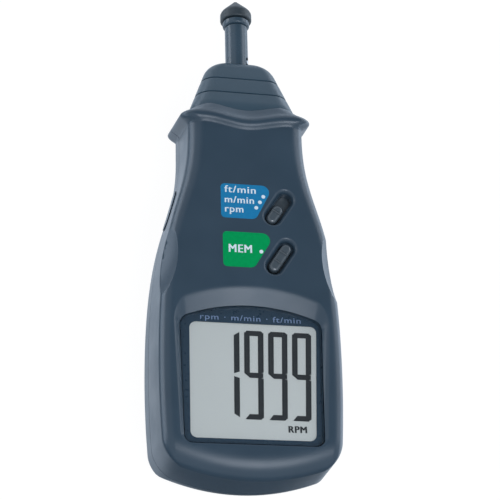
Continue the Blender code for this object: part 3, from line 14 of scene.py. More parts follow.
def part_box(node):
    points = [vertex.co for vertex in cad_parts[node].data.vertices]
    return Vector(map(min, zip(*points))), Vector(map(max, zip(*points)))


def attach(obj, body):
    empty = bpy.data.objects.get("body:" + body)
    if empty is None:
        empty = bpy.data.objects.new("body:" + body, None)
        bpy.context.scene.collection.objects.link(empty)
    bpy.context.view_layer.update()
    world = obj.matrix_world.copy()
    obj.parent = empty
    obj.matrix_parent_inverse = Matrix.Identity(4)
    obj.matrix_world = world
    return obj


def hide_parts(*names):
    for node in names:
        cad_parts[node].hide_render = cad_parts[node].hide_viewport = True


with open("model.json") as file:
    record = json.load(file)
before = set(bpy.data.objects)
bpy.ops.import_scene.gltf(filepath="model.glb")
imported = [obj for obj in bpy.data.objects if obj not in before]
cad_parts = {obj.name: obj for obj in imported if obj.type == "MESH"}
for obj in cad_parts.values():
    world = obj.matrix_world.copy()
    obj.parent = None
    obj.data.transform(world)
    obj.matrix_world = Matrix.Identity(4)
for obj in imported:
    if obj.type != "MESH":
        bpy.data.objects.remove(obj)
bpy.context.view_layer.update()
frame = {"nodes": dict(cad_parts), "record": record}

MM = 0.001

# Sizes of the part, as in its source but for the hip's edge, the lens's head corners and the mode knob
CASE_LENGTH = 147.0
NOSE_LENGTH = 28.2
SLEEVE_LENGTH = 19.0
COLLAR_LENGTH = 2.5
TIP_SKIRT_LENGTH = 4.6
TIP_CONE_LENGTH = 5.1
CLEARANCE = 0.3
SLIDE_CLEARANCE = 0.35
CASE_WIDTH = 72.0
WAIST_WIDTH = 47.0
BASE_WIDTH = 69.2
FRONT_DRAFT = 1.5
HIP_FROM_BASE = 46.0
WAIST_FROM_BASE = 137.3
FACE_HEIGHT = 35.6
PARTING_HEIGHT = 13.0
WALL = 2.2
CORNER_RADIUS = 7.5
BASE_BOW = 4.8
EDGE_DEPTH = 9.0
EDGE_RISE = 6.0
HEEL_DEPTH = 9.0
HEEL_RISE = 12.0
HIP_EDGE_RADIUS = 4.7
WAIST_EDGE_RADIUS = 6.0
BACK_EDGE_RADIUS = 6.0
RIM_FLARE = 3.2
RIM_RISE = 1.4
RIM_LEAN = 0.17
RIM_DIP = 2.6
FLANGE_RISE = 6.6
END_WALL = 6.9
SCOOP_FROM_BASE = 86.8
SCOOP_RADIUS = 36.0
SCOOP_HEIGHT = 14.0
SCOOP_WIDTH = 55.2
SCOOP_BACKING_RADIUS = 9.5
NOSE_ROOT_WIDTH = 42.2
NOSE_NECK_INSET = 2.4
NOSE_NECK_DROP = 0.8
NOSE_SEAT = 3.0
NOSE_ROOT_DEPTH = 30.0
NOSE_TOP_WIDTH = 25.0
NOSE_TOP_DEPTH = 14.0
NOSE_ROOT_RADIUS = 8.0
NOSE_TOP_RADIUS = 4.6
NOSE_SHOULDER = 6.0
NOSE_PLATE = 3.2
PLATE_LEDGE = 1.4
PLATE_RIM = 0.15
GROOVE_WIDTH = 0.7
GROOVE_DEPTH = 0.5
SPINDLE_HEIGHT = 18.0
JOURNAL_RADIUS = 2.5
JOURNAL_LENGTH = 15.6
DRIVE_PIN_RADIUS = 0.8
DRIVE_PIN_ANGLE = 62.0
DRIVE_PIN_RISE = 2.6
SLEEVE_RADIUS = 4.65
STUB_RADIUS = 3.0
NOTCH_WIDTH = 2.8
NOTCH_LENGTH = 5.2
ADAPTER_COLLAR_RADIUS = 5.5
TIP_RADIUS = 6.45
TIP_POINT_RADIUS = 1.1
LENS_FROM_BASE = 12.4
LENS_LENGTH = 53.7
LENS_WIDTH = 53.2
LENS_BASE_WIDTH = 51.2
LENS_THICKNESS = 1.8
LENS_ARCH_RADIUS = 66.0
LENS_CORNER_RADIUS = 3.0
LENS_HEAD_RADIUS = 4.0
POCKET_DEPTH = 2.6
POCKET_BASE_DEPTH = 0.25
POCKET_SIDE_RUN = 2.4
POCKET_TOP_RUN = 6.8
LENS_LEDGE = 1.8
DECK_HEIGHT = 29.3
SWITCH_X = 11.6
SWITCH_ANGLE = 57.0
MODE_FROM_BASE = 106.2
MEMORY_FROM_BASE = 85.8
RECESS_LENGTH = 16.8
RECESS_WIDTH = 7.9
RECESS_DEPTH = 2.8
RECESS_BEVEL = 1.0
FLOOR_THICKNESS = 2.0
KEY_DROP = 0.4
KEY_PLATE = 1.2
KEY_WIDTH = 4.4
MODE_KNOB_LENGTH = 8.4
MODE_STEP = 2.9
MEMORY_KEY_LENGTH = 13.0
MEASURE_FROM_BASE = 112.4
MEASURE_LENGTH = 17.0
MEASURE_DEPTH = 9.0
MEASURE_PROUD = 0.5
MEASURE_TRAVEL = 1.0
CELL_SPAN = 29.6
TRAY_FROM_BASE = 9.8
TRAY_LENGTH = 55.0
TRAY_WALL = 1.6
TRAY_CEILING = 17.35
TRAY_TOP = 19.7
DOOR_THICKNESS = 2.2
DOOR_TONGUE = 1.1
SCREW_SINK = 4.0
SCREW_SINK_RADIUS = 2.6
TOP_SCREW = (18.0, 125.0)
LOW_SCREW = (29.0, 70.2)

# Places that follow from the sizes
FLANGE_TO_TIP = (
    NOSE_LENGTH + CLEARANCE + SLEEVE_LENGTH + CLEARANCE + COLLAR_LENGTH
    + CLEARANCE + TIP_SKIRT_LENGTH + TIP_CONE_LENGTH
)
BASE_Y = -(CASE_LENGTH + FLANGE_TO_TIP) / 2
RIM_Y = BASE_Y + CASE_LENGTH
CAVITY_END_Y = RIM_Y - END_WALL
NECK_END_Y = CAVITY_END_Y + NOSE_SEAT
NOSE_TOP_Y = RIM_Y + NOSE_LENGTH
SLEEVE_Y = NOSE_TOP_Y + CLEARANCE
COLLAR_Y = SLEEVE_Y + SLEEVE_LENGTH + CLEARANCE
TIP_Y = COLLAR_Y + COLLAR_LENGTH + CLEARANCE
APEX_Y = TIP_Y + TIP_SKIRT_LENGTH + TIP_CONE_LENGTH
JOURNAL_END_Y = SLEEVE_Y + JOURNAL_LENGTH
PLATE_FRONT_Y = CAVITY_END_Y - CLEARANCE
PLATE_BACK_Y = PLATE_FRONT_Y - NOSE_PLATE
LENS_LOW_Y = BASE_Y + LENS_FROM_BASE
LENS_HIGH_Y = LENS_LOW_Y + LENS_LENGTH
LENS_MIDDLE_Y = (LENS_LOW_Y + LENS_HIGH_Y) / 2
LENS_TOP_HEIGHT = FACE_HEIGHT - POCKET_DEPTH
LENS_BASE_HEIGHT = FACE_HEIGHT - POCKET_BASE_DEPTH
LENS_HEIGHT = (LENS_TOP_HEIGHT + LENS_BASE_HEIGHT) / 2
LENS_SLOPE = (LENS_BASE_HEIGHT - LENS_TOP_HEIGHT) / LENS_LENGTH
MODE_Y = BASE_Y + MODE_FROM_BASE
MEMORY_Y = BASE_Y + MEMORY_FROM_BASE
MEASURE_Y = BASE_Y + MEASURE_FROM_BASE
WELL_BOTTOM = FACE_HEIGHT - RECESS_DEPTH - FLOOR_THICKNESS
PLATE_TOP = WELL_BOTTOM - CLEARANCE
KEY_TOP = FACE_HEIGHT - KEY_DROP
TRAY_LOW_Y = BASE_Y + TRAY_FROM_BASE
TRAY_HIGH_Y = TRAY_LOW_Y + TRAY_LENGTH
TRAY_HALF_WIDTH = CELL_SPAN + CLEARANCE
DOOR_HALF_WIDTH = TRAY_HALF_WIDTH + 0.8
DOOR_HIGH_Y = TRAY_HIGH_Y + 0.8
FAR = 60.0


# Mesh helpers

TURNED_SEGMENTS = 96
MERGE_DISTANCE = 0.001
SMOOTH_ANGLE = 38.0
SHELL_SMOOTH_ANGLE = 48.0
TIP_SMOOTH_ANGLE = 50.0
NORMAL_WEIGHT = 60


def turns(whole, steps):
    """Even steps of an angle from none to the whole."""
    return [whole * k / steps for k in range(steps + 1)]


def placed(name, data):
    item = bpy.data.objects.new(name, data)
    bpy.context.scene.collection.objects.link(item)
    return item


def from_bmesh(name, bm):
    bmesh.ops.recalc_face_normals(bm, faces=bm.faces)
    mesh = bpy.data.meshes.new(name)
    bm.to_mesh(mesh)
    bm.free()
    return placed(name, mesh)


def block(name, low, high):
    """A box between two corners, used as a cutter."""
    bm = bmesh.new()
    bmesh.ops.create_cube(bm, size=1.0)
    bmesh.ops.scale(bm, vec=[(b - a) * MM for a, b in zip(low, high)], verts=bm.verts)
    bmesh.ops.translate(bm, vec=[(a + b) / 2 * MM for a, b in zip(low, high)], verts=bm.verts)
    return from_bmesh(name, bm)


def rod(name, radius, start, end, segments=48):
    """A cylinder from one point to another."""
    first, last = Vector(start) * MM, Vector(end) * MM
    along = last - first
    bm = bmesh.new()
    bmesh.ops.create_cone(
        bm, cap_ends=True, segments=segments, radius1=radius * MM, radius2=radius * MM, depth=along.length
    )
    turn = Vector((0, 0, 1)).rotation_difference(along).to_matrix().to_4x4()
    bmesh.ops.transform(bm, matrix=Matrix.Translation((first + last) / 2) @ turn, verts=bm.verts)
    return from_bmesh(name, bm)


def row_of(bm, points):
    return [bm.verts.new(Vector(p) * MM) for p in points]


def bridge(bm, lower, upper, closed=True):
    """Faces from one row of vertices to the next."""
    count = len(lower)
    for i in range(count if closed else count - 1):
        j = (i + 1) % count
        bm.faces.new((lower[i], lower[j], upper[j], upper[i]))


def loft(name, rings, edge_steps=None):
    """A closed skin over rings of equal count. With edge_steps the ends are filled as strips."""
    bm = bmesh.new()
    rows = [row_of(bm, ring) for ring in rings]
    for lower, upper in zip(rows, rows[1:]):
        bridge(bm, lower, upper)
    for row in (rows[0], rows[-1]):
        if edge_steps is None:
            bm.faces.new(row)
            continue
        front = len(row) // 2
        for k in range(edge_steps):
            far = front + edge_steps - k
            bm.faces.new((row[k], row[k + 1], row[far - 1], row[far]))
        bm.faces.new(row[edge_steps:front + 1])
        bm.faces.new(row[front + edge_steps:] + row[:1])
    return from_bmesh(name, bm)


def turned(name, profile, closed=True):
    """A turned piece on the spindle axis, from (radius, y) points that run down its outer side."""
    bm = bmesh.new()
    rows = []
    for turn in turns(2 * pi, TURNED_SEGMENTS)[:-1]:
        rows.append(row_of(bm, [(r * sin(turn), y, SPINDLE_HEIGHT + r * cos(turn)) for r, y in profile]))
    for row, other in zip(rows, rows[1:] + rows[:1]):
        bridge(bm, row, other, closed)
    bmesh.ops.remove_doubles(bm, verts=bm.verts, dist=MERGE_DISTANCE * MM)
    return from_bmesh(name, bm)


def plate(name, outline, low, high):
    """A flat piece with the given outline."""
    return loft(name, [[(x, y, z) for x, y in outline] for z in (low, high)])


def boolean(item, operation, tools):
    for tool in tools:
        modifier = item.modifiers.new(tool.name, "BOOLEAN")
        modifier.operation = operation
        modifier.solver = "EXACT"
        modifier.object = tool


def cut(item, *tools):
    boolean(item, "DIFFERENCE", tools)


def join(item, *tools):
    boolean(item, "UNION", tools)


def keep(item, tool):
    boolean(item, "INTERSECT", [tool])


def applied(item):
    """Fixes the item's modifiers into its mesh and removes their tools."""
    tools = [m.object for m in item.modifiers if m.type == "BOOLEAN"]
    graph = bpy.context.evaluated_depsgraph_get()
    mesh = bpy.data.meshes.new_from_object(item.evaluated_get(graph))
    old = item.data
    item.modifiers.clear()
    item.data = mesh
    bpy.data.meshes.remove(old)
    for tool in tools:
        bpy.data.objects.remove(tool, do_unlink=True)
    return item


def smooth(item, angle=SMOOTH_ANGLE):
    """Smooth shading that keeps flat faces flat and hard edges hard."""
    item.data.shade_smooth()
    item.data.set_sharp_from_angle(angle=radians(angle))
    weighted = item.modifiers.new("weighted", "WEIGHTED_NORMAL")
    weighted.keep_sharp = True
    weighted.weight = NORMAL_WEIGHT
    return item


def finished(item, material, body, slot, *nodes):
    """Gives a piece its material and body, and lets it replace its nodes; its slot is not used."""
    item.data.materials.clear()
    item.data.materials.append(material)
    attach(item, body)
    if nodes:
        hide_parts(*nodes)
    return item


# Materials

# Noise outputs between these two are spread over the whole of a range
NOISE_LOW = 0.3
NOISE_HIGH = 0.7


class Graph:
    """Builds a node tree by short calls."""

    def __init__(self, owner):
        owner.use_nodes = True
        self.tree = owner.node_tree

    def node(self, kind, values=None, **settings):
        """A node with its settings, and with values for some of its sockets."""
        item = self.tree.nodes.new("ShaderNode" + kind)
        for key, value in settings.items():
            setattr(item, key, value)
        for key, value in (values or {}).items():
            item.inputs[key].default_value = value
        return item

    def link(self, source, target):
        self.tree.links.new(source, target)

    def mapped(self, value, start, end, low, high, **settings):
        """A value moved from one range to another."""
        values = {"From Min": start, "From Max": end, "To Min": low, "To Max": high}
        item = self.node("MapRange", values, **settings)
        self.link(value, item.inputs["Value"])
        return item.outputs["Result"]

    def mixed(self, share, first, second):
        item = self.node("MixShader")
        for source, socket in zip((share, first, second), item.inputs):
            self.link(source, socket)
        return item.outputs[0]

    def combined(self, operation, *values):
        """Outputs and plain numbers put through one operation."""
        item = self.node("Math", operation=operation)
        for socket, value in zip(item.inputs, values):
            if isinstance(value, float):
                socket.default_value = value
            else:
                self.link(value, socket)
        return item.outputs[0]


class Paint(Graph):
    """The node tree of a material, with calls for what its shader takes."""

    def __init__(self, name):
        self.material = bpy.data.materials.new(name)
        super().__init__(self.material)
        self.shader = self.tree.nodes["Principled BSDF"]
        self.coords = self.node("TexCoord").outputs["Object"]

    def noise(self, scale, detail=3.0, roughness=0.55):
        item = self.node("TexNoise", {"Scale": scale, "Detail": detail, "Roughness": roughness})
        self.link(self.coords, item.inputs["Vector"])
        return item.outputs["Fac"]

    def colour(self, noise, low, high):
        item = self.node("ValToRGB")
        stops = item.color_ramp.elements
        stops[0].position, stops[1].position = NOISE_LOW, NOISE_HIGH
        stops[0].color, stops[1].color = low, high
        self.link(noise, item.inputs["Fac"])
        self.link(item.outputs["Color"], self.shader.inputs["Base Color"])

    def roughness(self, noise, low, high):
        self.link(self.mapped(noise, NOISE_LOW, NOISE_HIGH, low, high), self.shader.inputs["Roughness"])

    def bump(self, height, strength, distance):
        item = self.node("Bump", {"Strength": strength, "Distance": distance})
        self.link(height, item.inputs["Height"])
        self.link(item.outputs["Normal"], self.shader.inputs["Normal"])

    def set(self, **values):
        for key, value in values.items():
            self.shader.inputs[key.replace("_", " ")].default_value = value


def grey(colour, share):
    return tuple(min(1.0, c * share) for c in colour[:3]) + (1.0,)


def surface(name, colour, tone, gloss, bump=None, **settings):
    """A material with a tone (noise and shares), a gloss (noise and values) and a bump (noise and sizes)."""
    make = Paint(name)
    tones = make.noise(*tone[0])
    make.colour(tones, grey(colour, tone[1]), grey(colour, tone[2]))
    make.roughness(make.noise(*gloss[0]) if gloss[0] else tones, gloss[1], gloss[2])
    if bump:
        make.bump(make.noise(*bump[0]), *bump[1:])
    make.set(**settings)
    return make.material


def moulded(name, colour, roughness, specular=0.5):
    """Moulded plastic with a fine spark-eroded grain."""
    gloss = ((90.0,), roughness - 0.03, roughness + 0.03)
    grain = ((2600.0, 2.0, 0.6), 0.35, 0.00004)
    return surface(name, colour, ((45.0, 2.0), 0.94, 1.06), gloss, grain, Specular_IOR_Level=specular)


def rubber(name, colour):
    """Moulded rubber with a dusty bloom and a fine dimpled skin."""
    gloss, dimples = ((500.0,), 0.4, 0.56), ((1800.0, 3.0), 0.5, 0.00006)
    return surface(name, colour, ((300.0, 4.0), 0.8, 1.35), gloss, dimples, Specular_IOR_Level=0.6)


def ink(name, colour, roughness=0.42, specular=0.3):
    """Screen-printed ink with a slight unevenness."""
    gloss = (None, roughness - 0.04, roughness + 0.05)
    return surface(name, colour, ((700.0, 3.0), 0.94, 1.05), gloss, Specular_IOR_Level=specular)


def liquid_crystal(name, colour):
    """The display's pale rear reflector, with a fine silvery grain under the glass."""
    tone = ((3800.0, 2.0, 0.7), 0.95, 1.04)
    return surface(name, colour, tone, (None, 0.45, 0.6), Specular_IOR_Level=0.2)


def turned_steel(name, colour, roughness=0.22):
    """Turned and plated steel, with fine rings round the spindle axis."""
    make = Paint(name)
    rings = make.node("TexWave", {"Scale": 900.0, "Distortion": 1.5}, wave_type="BANDS", bands_direction="Y")
    make.link(make.coords, rings.inputs["Vector"])
    tone = make.noise(120.0, 3.0)
    make.colour(tone, grey(colour, 0.9), grey(colour, 1.05))
    make.roughness(tone, roughness - 0.05, roughness + 0.08)
    make.bump(rings.outputs["Fac"], 0.15, 0.00002)
    make.set(Metallic=1.0)
    return make.material


def clear_lens(name):
    """A clear moulded window that mirrors a little, more at a glance, and lets the display show through."""
    make = Paint(name)
    tone = make.noise(60.0, 2.0)
    make.colour(tone, (0.80, 0.86, 0.90, 1), (0.86, 0.92, 0.95, 1))
    make.roughness(tone, 0.03, 0.06)
    glance = make.node("LayerWeight").outputs["Facing"]
    make.link(make.mapped(glance, 0.5, 1.0, 0.03, 0.3), make.shader.inputs["Alpha"])
    make.set(Metallic=1.0)
    return make.material


SLATE = (0.030, 0.056, 0.082)
CASE = moulded("case_plastic_fine", SLATE, 0.34)
NOSE = moulded("nose_plastic_fine", (0.038, 0.072, 0.100), 0.34)
ADAPTER = moulded("adapter_plastic_fine", (0.036, 0.066, 0.092), 0.26, 0.6)
KEYS = moulded("key_plastic_fine", (0.060, 0.080, 0.094), 0.2, 0.9)
INNER = moulded("inner_plastic_fine", (0.30, 0.30, 0.28), 0.5, 0.4)
RUBBER = rubber("tip_rubber_fine", (0.018, 0.030, 0.038))
STRIP = rubber("strip_rubber_fine", (0.05, 0.05, 0.05))
STEEL = turned_steel("turned_steel", (0.62, 0.63, 0.65))
PIN = turned_steel("pin_steel", (0.90, 0.92, 0.94), 0.2)
LENS = clear_lens("lens_acrylic_fine")
LCD = liquid_crystal("lcd_reflector", (0.595, 0.62, 0.585))
FRAME_INK = ink("frame_ink", (0.024, 0.050, 0.078), 0.3)
BLUE = ink("label_blue", (0.011, 0.195, 0.395), 0.42, 0.2)
GREEN = ink("label_green", (0.0005, 0.310, 0.086), 0.5, 0.05)
WHITE = ink("label_white", (0.72, 0.80, 0.84))
LEGEND = ink("legend_blue", (0.21, 0.30, 0.47))
SEGMENT = ink("lcd_segment", (0.024, 0.027, 0.029))
BOARD = moulded("board_fine", (0.02, 0.13, 0.06), 0.4)
CELL = moulded("cell_fine", (0.05, 0.055, 0.06), 0.3)


# The case's curves, as in the part's source but with finer steps

ARC_STEPS = 12
EDGE_STEPS = 20
BASE_REACH = 16.0
LEAST_RADIUS = 0.8


def ease(t):
    t = min(1.0, max(0.0, t))
    return t * t * (3 - 2 * t)


def bezier(a, b, c, d, t):
    return a * (1 - t) ** 3 + 3 * b * t * (1 - t) ** 2 + 3 * c * t * t * (1 - t) + d * t ** 3


def end_inset(distance, depth, rise):
    """How far a quarter-ellipse edge draws in at a distance from the end."""
    if distance >= depth:
        return 0.0
    return rise * (1 - sqrt(1 - ((depth - distance) / depth) ** 2))


def case_half_width(y):
    """The case's outline from above: slim at the waist, fullest at the hip, a little narrower at its base."""
    hip, waist = BASE_Y + HIP_FROM_BASE, BASE_Y + WAIST_FROM_BASE
    slim, full = WAIST_WIDTH / 2, CASE_WIDTH / 2
    if y >= waist:
        return slim
    if y <= hip:
        share = (hip - y) / (HIP_FROM_BASE - CORNER_RADIUS * 1.7)
        return full - (CASE_WIDTH - BASE_WIDTH) / 2 * share ** 2
    span = waist - hip
    low, high = 0.0, 1.0
    for _ in range(30):
        t = (low + high) / 2
        if bezier(waist, waist - 0.33 * span, hip + 0.68 * span, hip, t) > y:
            low = t
        else:
            high = t
    return bezier(slim, slim, full, full, low)


def rounded_ring(half_width, back, front, back_radius, front_radius, arc_steps, edge_steps, draft=0.0):
    """An upright section as (x, z) points: back, right side drawn in by the draft, front, left side."""
    points = []
    flat = half_width - back_radius
    for k in range(edge_steps + 1):
        points.append((-flat + 2 * flat * k / edge_steps, back))
    for turn in turns(pi / 2, arc_steps)[1:]:
        points.append((flat + back_radius * sin(turn), back + back_radius * (1 - cos(turn))))
    flat = half_width - draft - front_radius
    for turn in turns(pi / 2, arc_steps)[:-1]:
        points.append((flat + front_radius * cos(turn), front - front_radius * (1 - sin(turn))))
    left = [(-x, z) for x, z in reversed(points[edge_steps + 1:])]
    for k in range(edge_steps + 1):
        points.append((flat - 2 * flat * k / edge_steps, front))
    return points + left


# Flare and rise of the flange at steps along it, as shares of the rim's own
FLANGE_STEPS = (
    (-3.2, 0.0), (-2.5, 0.1), (-1.8, 0.36), (-1.1, 0.68), (-0.3, 0.93), (0.5, 1.0), (1.3, 0.88),
    (2.2, 0.52), (3.5, -0.25), (FLANGE_RISE, -1.5),
)
FLANGE_FINENESS = 5


def flange_share(y):
    """The flange's outline as a smooth curve through its steps."""
    along = y - RIM_Y
    steps = FLANGE_STEPS
    if along <= steps[0][0]:
        return 0.0
    for k in range(len(steps) - 1):
        (a, low), (b, high) = steps[k], steps[k + 1]
        if along <= b + 1e-6:
            before = steps[k - 1] if k else (a - 1.0, 0.0)
            after = steps[k + 2] if k + 2 < len(steps) else (b + (b - a), high + (high - low))
            t = (along - a) / (b - a)
            slope_a = (high - before[1]) / (b - before[0]) * (b - a)
            slope_b = (after[1] - low) / (after[0] - a) * (b - a)
            return ((2 * t ** 3 - 3 * t * t + 1) * low + (t ** 3 - 2 * t * t + t) * slope_a
                    + (3 * t * t - 2 * t ** 3) * high + (t ** 3 - t * t) * slope_b)
    return steps[-1][1]


def rim_lean(x, z):
    """How far the flange leans towards the base, and how far its front dips in the middle."""
    across = min(1.0, abs(x) / (WAIST_WIDTH * 0.36))
    upper = ease((z - SPINDLE_HEIGHT) / 12)
    return RIM_LEAN * (z - SPINDLE_HEIGHT) + RIM_DIP * (1 - ease(across)) * upper


def case_ring(y, grow=0.0, front_limit=None, arc_steps=ARC_STEPS, edge_steps=EDGE_STEPS, least=LEAST_RADIUS):
    """A section of the case, offset outwards by grow, leaning at the flange and bowed at the base."""
    distance = y - (BASE_Y - grow)
    bow = BASE_BOW / (CASE_WIDTH / 2 - CORNER_RADIUS) ** 2 * 1.1 * ease((25 - distance) / 17)
    share = flange_share(y)
    side = y + bow * (CASE_WIDTH / 2 - 2) ** 2
    corner = CORNER_RADIUS + grow
    half_width = case_half_width(side) + grow + RIM_FLARE * share - end_inset(distance, corner, corner)
    drop = end_inset(distance, EDGE_DEPTH + grow, EDGE_RISE + grow)
    front = FACE_HEIGHT + grow + RIM_RISE * share - drop
    if front_limit is not None:
        front = min(front, front_limit)
    lift = end_inset(distance, HEEL_DEPTH + grow, HEEL_RISE + grow)
    back = -grow + lift - min(0.0, share) * 1.4
    blend = ease((y - MEMORY_Y) / (MODE_Y + 10 - MEMORY_Y))
    radius = HIP_EDGE_RADIUS + (WAIST_EDGE_RADIUS - HIP_EDGE_RADIUS) * blend
    front_radius = max(least, radius + grow - drop)
    back_radius = max(LEAST_RADIUS, BACK_EDGE_RADIUS + grow - lift)
    draft = FRONT_DRAFT * (half_width / (CASE_WIDTH / 2)) ** 2
    near = ease((y - (RIM_Y - 14)) / 12)
    ring = rounded_ring(half_width, back, front, back_radius, front_radius, arc_steps, edge_steps, draft)
    return [(x, y + bow * x * x - near * rim_lean(x, z), z) for x, z in ring]


def case_stations(end, grow, step, close=16):
    """Where the case's sections lie: close together at the base and even along its length."""
    base = BASE_Y - grow
    first = [base + BASE_REACH * (1 - cos(turn)) for turn in turns(pi / 2, close)]
    count = max(1, round((end - first[-1]) / step))
    return first + [first[-1] + (end - first[-1]) * k / count for k in range(1, count + 1)]


def outer_case(name):
    """The whole outside of the case with its flange, before it is hollowed and split."""
    start = RIM_Y + FLANGE_STEPS[0][0]
    stations = case_stations(start, 0.0, 2.6)
    for (a, _), (b, _) in zip(FLANGE_STEPS, FLANGE_STEPS[1:]):
        stations += [RIM_Y + a + (b - a) * k / FLANGE_FINENESS for k in range(1, FLANGE_FINENESS + 1)]
    return loft(name, [case_ring(y) for y in stations], EDGE_STEPS)


def case_cavity(name):
    """The hollow inside the walls, with a lower ceiling under the display."""
    deck_end = LENS_HIGH_Y + POCKET_TOP_RUN
    low = case_stations(deck_end - 4, -WALL, 12.0, 8)
    high = [deck_end + (CAVITY_END_Y - deck_end) * k / 6 for k in range(7)]
    rings = [case_ring(y, -WALL, DECK_HEIGHT, 3, 2) for y in low]
    backed = BASE_Y + SCOOP_FROM_BASE + 24
    for y in high:
        rings.append(case_ring(y, -WALL, None, 3, 2, SCOOP_BACKING_RADIUS if y < backed else LEAST_RADIUS))
    level = [[(x, min(py, CAVITY_END_Y), z) for x, py, z in ring] for ring in rings[:-1]]
    level.append([(x, CAVITY_END_Y, z) for x, _, z in rings[-1]])
    return loft(name, level, 2)


def case_limit(name, grow, end):
    """The inside or outside of the case as a coarse solid that trims other pieces."""
    rings = [case_ring(y, grow, None, 4, 2) for y in case_stations(end, grow, 6.0, 10)]
    return loft(name, rings, 2)


# Nose

# Distance from the rim to where its taper starts
NOSE_ROOT = 4.2
NOSE_EDGE_STEPS = 8
NOSE_SHOULDER_STEPS = 14
BEARING_ROOM_RADIUS = 6.5


def nose_half_sizes(y):
    t = min(1.0, max(0.0, (y - (RIM_Y + NOSE_ROOT)) / (NOSE_LENGTH - NOSE_ROOT)))
    width = NOSE_ROOT_WIDTH / 2 + (NOSE_TOP_WIDTH - NOSE_ROOT_WIDTH) / 2 * t
    depth = NOSE_ROOT_DEPTH / 2 + (NOSE_TOP_DEPTH - NOSE_ROOT_DEPTH) / 2 * t
    radius = NOSE_ROOT_RADIUS + (NOSE_TOP_RADIUS - NOSE_ROOT_RADIUS) * t
    return width, depth, radius


def nose_ring(y, grow=0.0, arc_steps=ARC_STEPS, ledge=0.0, neck=False):
    """A section of the nose or its neck, offset outwards by grow and widened at its sides by a ledge."""
    width, depth, radius = nose_half_sizes(y)
    if neck:
        width -= NOSE_NECK_INSET
        depth -= NOSE_NECK_DROP
    top = NOSE_TOP_Y - y
    width += grow + ledge - end_inset(top, NOSE_SHOULDER, NOSE_SHOULDER * 0.9)
    depth += grow - end_inset(top, NOSE_SHOULDER * 0.6, 2.4)
    radius = max(1.0, min(radius + grow, depth - 0.4, width - 0.4))
    low, high = SPINDLE_HEIGHT - depth, SPINDLE_HEIGHT + depth
    ring = rounded_ring(width, low, high, radius, radius, arc_steps, NOSE_EDGE_STEPS)
    return [(x, y, z) for x, z in ring]


def nose_outline_stations():
    """Where the nose's sections lie, and how far each is sunk for the two grooves."""
    tier = (NOSE_LENGTH - NOSE_ROOT) / 3.1
    stations = [(RIM_Y + d, 0.0) for d in (2.0, NOSE_ROOT, 6.4)]
    half = GROOVE_WIDTH / 2
    for groove in (RIM_Y + 2.9 + tier, RIM_Y + 2.9 + 2 * tier):
        stations += [(groove - half - 1.0, 0.0), (groove - half, -0.06)]
        stations += [(groove + half * along, -GROOVE_DEPTH) for along in (-0.45, 0.45)]
        stations += [(groove + half, -0.06), (groove + half + 1.0, 0.0)]
    shoulder = turns(pi / 2, NOSE_SHOULDER_STEPS)
    return stations + [(NOSE_TOP_Y - NOSE_SHOULDER * (1 - sin(turn)), 0.0) for turn in shoulder]


def build_nose():
    """The tapered nose with its two grooves and the hole that the spindle runs out of."""
    seat = NECK_END_Y + CLEARANCE
    rings = [nose_ring(y, PLATE_RIM, ledge=PLATE_LEDGE, neck=True) for y in (PLATE_BACK_Y, PLATE_FRONT_Y)]
    rings += [nose_ring(PLATE_FRONT_Y, neck=True), nose_ring(seat, neck=True), nose_ring(seat)]
    rings += [nose_ring(y, grow) for y, grow in nose_outline_stations()]
    item = loft("nose_shell", rings, NOSE_EDGE_STEPS)
    hollow = [nose_ring(PLATE_BACK_Y - 2, -WALL, 4, neck=True), nose_ring(seat, -WALL, 4, neck=True)]
    hollow += [nose_ring(RIM_Y + NOSE_ROOT, -WALL, 4), nose_ring(RIM_Y + 10, -WALL, 4)]
    cut(item, loft("nose_hollow", hollow, NOSE_EDGE_STEPS))
    for name, radius, end in (("nose_bore", JOURNAL_RADIUS + CLEARANCE, NOSE_TOP_Y + 2),
                              ("bearing_room", BEARING_ROOM_RADIUS, NOSE_TOP_Y - 3.7)):
        cut(item, rod(name, radius, (0, RIM_Y + 5, SPINDLE_HEIGHT), (0, end, SPINDLE_HEIGHT)))
    finished(smooth(applied(item)), NOSE, "case", "case_plastic", "nose_cone")


def nose_hole(name):
    """The opening in the flange that the nose passes through."""
    rings = [nose_ring(y, CLEARANCE, 8, neck=True) for y in (CAVITY_END_Y - 3, NECK_END_Y)]
    rings += [nose_ring(y, CLEARANCE, 8) for y in (NECK_END_Y, RIM_Y + 2)]
    rings += [[(x, RIM_Y + 20, z) for x, _, z in rings[-1]]]
    return loft(name, rings, NOSE_EDGE_STEPS)


# Display

def arc_points(centre, radius, start, end, steps=8):
    """An arc by its start and end in degrees."""
    along = [radians(start + turn) for turn in turns(end - start, steps)]
    return [(centre[0] + radius * cos(turn), centre[1] + radius * sin(turn)) for turn in along]


LENS_CORNER_STEPS = 10
LENS_ARCH_STEPS = 32


def lens_outline(grow=0.0):
    """The lens's outline: straight foot, sides that spread a little, and an arched head."""
    low, high = LENS_LOW_Y - grow, LENS_HIGH_Y + grow
    half, foot = (LENS_WIDTH + 2 * grow) / 2, (LENS_BASE_WIDTH + 2 * grow) / 2
    arch, corner, head = LENS_ARCH_RADIUS + grow, LENS_CORNER_RADIUS + grow, LENS_HEAD_RADIUS + grow
    centre_y, reach = high - arch, half - head
    rise = sqrt((arch - head) ** 2 - reach ** 2)
    bend = atan2(rise, reach)
    right = []
    for turn in turns(pi / 2, LENS_CORNER_STEPS):
        right.append((foot - corner + corner * sin(turn), low + corner - corner * cos(turn)))
    for turn in turns(bend, LENS_CORNER_STEPS):
        right.append((reach + head * cos(turn), centre_y + rise + head * sin(turn)))
    along = [bend + turn for turn in turns(pi - 2 * bend, LENS_ARCH_STEPS)[1:-1]]
    middle = [(arch * cos(turn), centre_y + arch * sin(turn)) for turn in along]
    return right + middle + [(-x, y) for x, y in reversed(right)]


